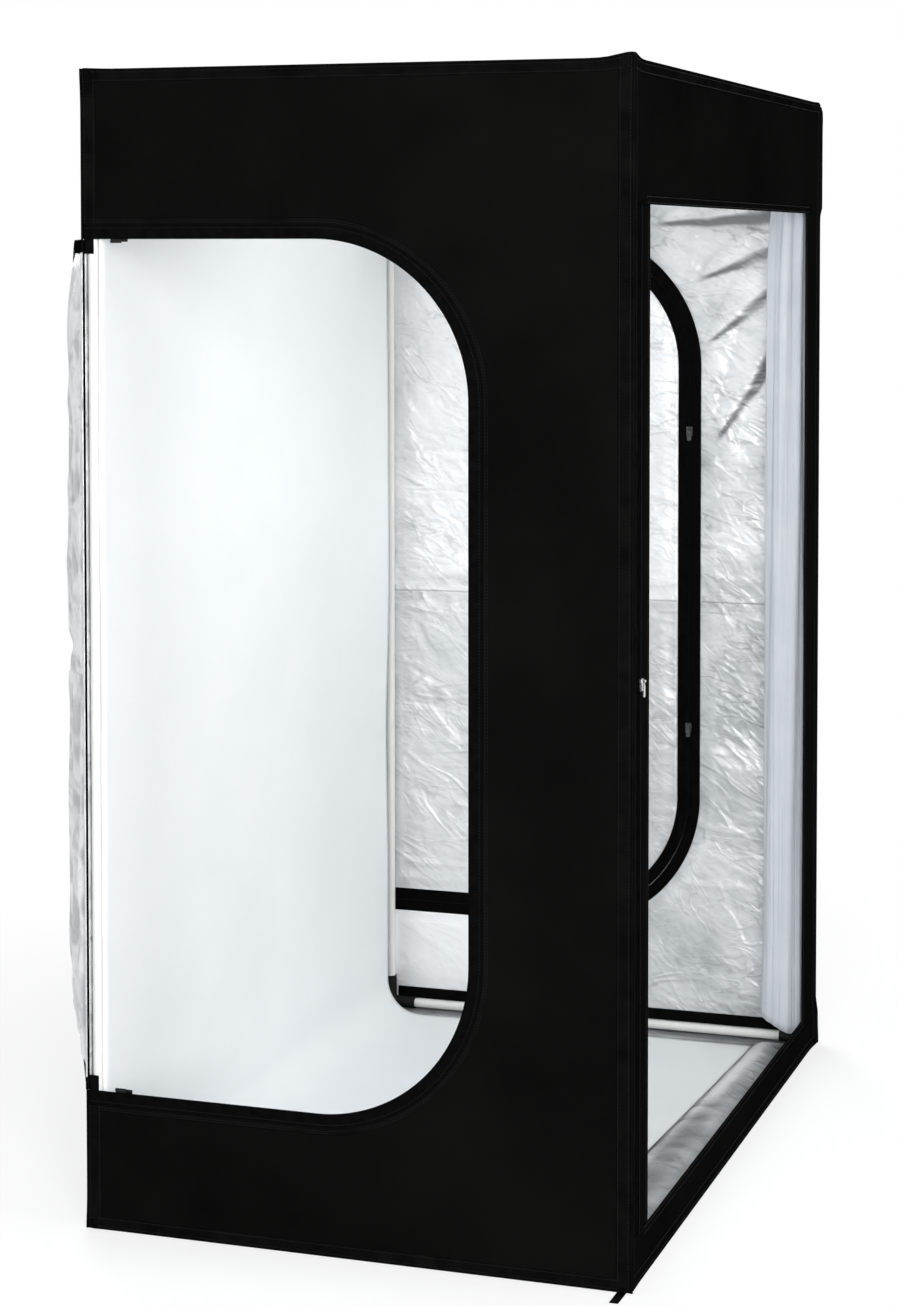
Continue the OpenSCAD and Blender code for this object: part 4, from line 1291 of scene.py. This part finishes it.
zip_end_w = 0.017
zip_end_reach = 0.025
zip_end_gap = 0.0005
zip_end_crown = 0.0004
zip_end_in = coil_turn[2] + 0.0004
zip_ends = []
for outward in (-1, 1):
    tab_y = outward * (half_d - cloth - zip_end_in)
    tab_x = hinge.x + welt_r + cloth + zip_end_gap + zip_end_w / 2
    for z in (door_top, door_bottom):
        start, end = (tab_x, tab_y, z - zip_end_reach), (tab_x, tab_y, z + zip_end_reach)
        zip_ends.append(ribbon("zip_end", start, end, zip_end_w, (0, -outward, 0), zip_end_crown))
zip_ends = joined("zip_end_tabs", zip_ends)
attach(zip_ends, "tent")

# Zip sliders and pulls. Cast zinc, five of each: bright nickel on the open side, gunmetal on the back
# door and black lacquer on the front door. They run on the coils, and their pulls swing on cast pins.
nickel_tones = ((0.55, 0.55, 0.56, 1), (0.78, 0.78, 0.78, 1))
lacquer_tones = ((0.004, 0.004, 0.004, 1), (0.03, 0.03, 0.03, 1))
gunmetal_tones = ((0.045, 0.045, 0.047, 1), (0.11, 0.11, 0.11, 1))
bare_metal = {"Metallic": 1.0}
lacquer_coat = {"Specular IOR Level": 0.2, "Coat Weight": 0.15, "Coat Roughness": 0.25}

nickel = mottled("nickel", bare_metal, 260, nickel_tones, (0.16, 0.36))[0]
lacquer = mottled("lacquer", lacquer_coat, 220, lacquer_tones, (0.25, 0.45), (0.6, 0.85))[0]
gunmetal = mottled("gunmetal", bare_metal, 260, gunmetal_tones, (0.2, 0.4))[0]

for where, metal in (
    ("side", nickel), ("back_upper", gunmetal), ("back_lower", gunmetal),
    ("front_upper", lacquer), ("front_lower", lacquer),
):
    paint_nodes([where + "_slider", where + "_pull"], metal)

# Sweep sheet. One cut of smooth bluish white backdrop cloth with a turned hem, clipped to the left top
# rail. It hangs down the wall, bends at the floor and lies out towards the open side, where it ends a
# little askew. A narrow strip of it reaches forward beside the front upright.
sheet_t = 0.001
sweep_r = 0.080
sheet_cell = 0.012
sheet_thread = 0.0008
sheet_tones = ((0.835, 0.865, 0.88, 1), (0.87, 0.895, 0.91, 1))
sheet_off_wall = 0.0035
sheet_ripple = 0.0006
sheet_hem_w = 0.014
sheet_hem_h = 0.0006
strip_turn = 0.02
front_curl = 0.0026
front_curl_y = -0.730
front_curl_w = 0.012
clip_tones = ((0.012, 0.012, 0.012, 1), (0.028, 0.028, 0.028, 1))
clip_gloss = {"Specular IOR Level": 0.45}

sheet_white, tree, shader = new_material("sheet_white", {"Specular IOR Level": 0.25, "Sheen Weight": 0.10})
cut = add_node(tree, "ShaderNodeUVMap", uv_map="cloth").outputs["UV"]
marks = mottle(tree, shader, cut, 5, *sheet_tones, (0.3, 0.7))
roughen(tree, shader, marks, 0.60, 0.75)
emboss(tree, shader, woven(tree, sheet_thread), 0.0002, 0.25)

clip_plastic = mottled("clip_plastic", clip_gloss, 70, clip_tones, (0.35, 0.5))[0]
paint_nodes(["sheet_clips"], clip_plastic)

wall_run = sheet_high.z - sheet_low.z - sweep_r
bend_r = sweep_r - sheet_t / 2
bend_run = bend_r * math.pi / 2
floor_run = sheet_high.x - sheet_low.x - sweep_r
sheet_long = wall_run + bend_run + floor_run
sheet_half = sheet_high.y
sheet_wide = sheet_high.y - sheet_low.y
strip_high = sum(corner.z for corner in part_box("corner_top_front_left")) / 2
along = np.unique(np.concatenate([
    np.linspace(0, wall_run, int(wall_run / sheet_cell)),
    wall_run + np.linspace(0, bend_run, 16),
    wall_run + bend_run + np.linspace(0, floor_run, int(floor_run / sheet_cell)),
]))
aside = np.linspace(0, 1, int(sheet_wide / sheet_cell))
t, share = np.meshgrid(along, aside, indexing="ij")
strip_begun = smooth((t - (sheet_high.z - strip_high) - 0.002) / strip_turn)
strip_ended = smooth((t - wall_run + 0.022) / strip_turn)
strip_in = strip_begun * (1 - strip_ended)
front_y = -sheet_half + (sheet_half + sheet_low.y) * strip_in
y = front_y + (sheet_half - front_y) * share
turn = np.clip((t - wall_run) / bend_run, 0, 1) * math.pi / 2
floor_start = sheet_low.x + sweep_r
floor_share = np.maximum(0, t - wall_run - bend_run) / floor_run
sheet_x = floor_start - bend_r * np.cos(turn) + floor_share * (sheet_end(y) - floor_start)
sheet_x = sheet_x - front_curl * smooth((front_curl_y - y) / front_curl_w)
sheet_z = np.where(t < wall_run, sheet_high.z - t, sheet_low.z + sweep_r - bend_r * np.sin(turn))
normal = np.stack([np.cos(turn), np.zeros_like(turn), np.sin(turn)], -1)
off_wall = smooth(t / 0.15) * (1 - smooth((t - wall_run - bend_run - 0.05) / 0.25))
ripple = sheet_off_wall * (1 + drift(y, t, 0.34, 901)) * off_wall
ripple = ripple + sheet_ripple * (1 + drift(y, t, 0.12, 902))
end_edge = np.minimum.reduce([sheet_long - t, y - front_y, sheet_half - y])
hem = sheet_hem_h * (1 - smooth((end_edge - sheet_hem_w) / 0.004))
middle = np.stack([sheet_x, y, sheet_z], -1) + normal * (0.0003 + ripple)[..., None]
sheet_outer = middle + normal * (sheet_t / 2 + hem)[..., None]
sheet_inner = middle - normal * (sheet_t / 2)
sweep = cloth_skin("sweep_cloth", sheet_outer, sheet_inner, np.stack([y, t], -1), (sheet_white,) * 3)
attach(sweep, "tent")
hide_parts("sweep_sheet")
sheet_area = float(np.sum(np.diff(along) * (sheet_half - (front_y[1:, 0] + front_y[:-1, 0]) / 2)))
sheet_area = sheet_area - sheet_askew * sheet_wide ** 2 / 2

# Curtain. One cut of thin lavender-white cloth, drawn together into a slim bundle at the back of the open
# side. Its folds slant and ease out towards the hem. Three sewn loops carry it on the right top rail,
# and it slides along on them.
curtain_low, curtain_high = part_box("curtain")
curtain_r = 0.038
pleat_count = 9
pleat_in = 0.032
pleat_out = 0.0428
pleat_lean = 0.45
curtain_flare = 0.18
curtain_flare_h = 0.14
curtain_slit = 0.02
gather_power = 20
pleat_twist = math.radians(-330)
pleat_ease = 0.55
curtain_side_gap = 0.007
curtain_bulge = 1.14
curtain_x = half_w - cloth - curtain_side_gap - curtain_bulge * curtain_r
curtain_y = sum(corner.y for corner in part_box("curtain")) / 2
loop_low, loop_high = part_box("curtain_loops")
neck_in = 0.0213
neck = Vector((loop_high.x - neck_in, (loop_low.y + loop_high.y) / 2, curtain_high.z))
neck_rx, neck_ry = 0.014, 0.030
hem_slant = 0.042
curtain_t = 0.0008
curtain_rows = 110
curtain_columns = pleat_count * 26
curtain_thread = 0.0007
curtain_tones = ((0.48, 0.505, 0.545, 1), (0.54, 0.565, 0.60, 1))
curtain_gloss = {"Specular IOR Level": 0.2, "Sheen Weight": 0.15, "Roughness": 0.75}

curtain_cloth, tree, shader = new_material("curtain_cloth", curtain_gloss)
cut = add_node(tree, "ShaderNodeUVMap", uv_map="cloth").outputs["UV"]
mottle(tree, shader, cut, 8, *curtain_tones, (0.3, 0.7))
emboss(tree, shader, woven(tree, curtain_thread), 0.0002, 0.3)

rise, around = np.meshgrid(
    np.linspace(0, 1, curtain_rows),
    np.linspace(curtain_slit, 2 * math.pi - curtain_slit, curtain_columns),
    indexing="ij",
)
gather = rise ** gather_power
pleat_turn = around - pleat_lean * np.cos(around)
pleat = np.cos(pleat_count * pleat_turn + pleat_twist * rise + 0.5 * drift(around, rise, 0.35, 911))
pleat_deep = (pleat_out - pleat_in) / 2 * (1 - pleat_ease * (1 - rise))
ring = (pleat_in + pleat_out) / 2 + pleat_deep * np.sign(pleat) * np.abs(pleat) ** 0.8
ring = ring * (1 + 0.03 * drift(around * 2, rise, 0.2, 912))
ring = ring * (1 + curtain_flare * smooth(1 - rise / curtain_flare_h) * (1 - np.cos(around)) / 2)
squeeze_x = (1 - gather) + gather * neck_rx / curtain_r
squeeze_y = (1 - gather) + gather * neck_ry / curtain_r
bundle_x = curtain_x + (neck.x - curtain_x) * gather + ring * squeeze_x * np.cos(around)
bundle_y = curtain_y + (neck.y - curtain_y) * gather + ring * squeeze_y * np.sin(around)
hem_z = curtain_low.z + hem_slant * (curtain_x + pleat_out - bundle_x) / (2 * pleat_out)
bundle_z = hem_z + (curtain_high.z - hem_z) * rise
grid = np.stack([bundle_x, bundle_y, bundle_z], -1)
tangent = np.gradient(grid, axis=1)
side = np.stack([tangent[..., 1], -tangent[..., 0], np.zeros_like(rise)], -1)
side = side / np.linalg.norm(side, axis=-1)[..., None]
cut_u = np.cumsum(np.linalg.norm(np.diff(grid[0], axis=0), axis=-1))
cut_u = np.broadcast_to(np.concatenate([[0], cut_u])[None, :], rise.shape)
curtain_piece = cloth_skin(
    "gathered_curtain", grid + side * curtain_t / 2, grid - side * curtain_t / 2,
    np.stack([cut_u, bundle_z], -1), (curtain_cloth,) * 3,
)
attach(curtain_piece, "curtain")
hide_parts("curtain")

rail_low, rail_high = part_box("rail_top_right")
rail_x, rail_z = (rail_low.x + rail_high.x) / 2, (rail_low.z + rail_high.z) / 2
rail_r = (rail_high.z - rail_low.z) / 2
loop_w = 0.012
loop_t = 0.0012
loop_pitch = 0.014
loop_slack = 0.0003
tail_gap = 0.0009
loop_r = rail_r + loop_slack + loop_t / 2
turns = np.linspace(math.radians(-80), math.radians(260), 40)
loop_ring = np.stack([loop_r * np.cos(turns), loop_r * np.sin(turns)], -1)
tail_z = np.linspace(loop_low.z - rail_z, loop_ring[0, 1], 12)[:-1]
tail_share = smooth((tail_z - tail_z[0]) / (tail_z[-1] - tail_z[0]))
tail_up = np.stack([tail_gap + (loop_ring[0, 0] - tail_gap) * tail_share, tail_z], -1)
tail_down = np.stack([-tail_gap + (loop_ring[-1, 0] + tail_gap) * tail_share, tail_z], -1)[::-1]
loop_path_xz = np.concatenate([tail_up, loop_ring, tail_down])
loop_along = np.gradient(loop_path_xz, axis=0)
loop_side = np.stack([loop_along[:, 1], -loop_along[:, 0]], -1) / np.linalg.norm(loop_along, axis=1)[:, None]
loops = []
for k in (-1, 0, 1):
    y = neck.y + k * loop_pitch + np.linspace(-loop_w / 2, loop_w / 2, 6)
    skins = []
    for out in (1, -1):
        ring_xz = loop_path_xz + out * loop_side * loop_t / 2
        grid = np.zeros((len(ring_xz), len(y), 3))
        grid[..., 0] = rail_x + ring_xz[:, :1]
        grid[..., 1] = y[None, :]
        grid[..., 2] = rail_z + ring_xz[:, 1:]
        skins.append(grid)
    cut = np.stack(np.meshgrid(np.arange(len(loop_path_xz)) * 0.002, y, indexing="ij"), -1)
    loops.append(cloth_skin("loop", skins[0], skins[1], cut, (curtain_cloth,) * 3))
curtain_ties = joined("curtain_ties", loops)
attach(curtain_ties, "curtain")
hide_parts("curtain_loops")

# Corner tab. A short end of webbing sewn under the front right corner, for pulling the cover down over
# the frame. It lies on the floor, with its end turned under.
tab_low, tab_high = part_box("corner_tab")
tab_x = (tab_low.x + tab_high.x) / 2
tab_z = 0.0003
tab_crown = 0.0012
tab_ends = [(tab_x, y, tab_z) for y in (tab_high.y, tab_low.y)]
tab = ribbon("pull_tab", *tab_ends, tab_high.x - tab_low.x, (0, 0, 1), tab_crown)
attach(tab, "tent")
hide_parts("corner_tab")

# The plain view transform.
bpy.context.scene.view_settings.view_transform = "Standard"
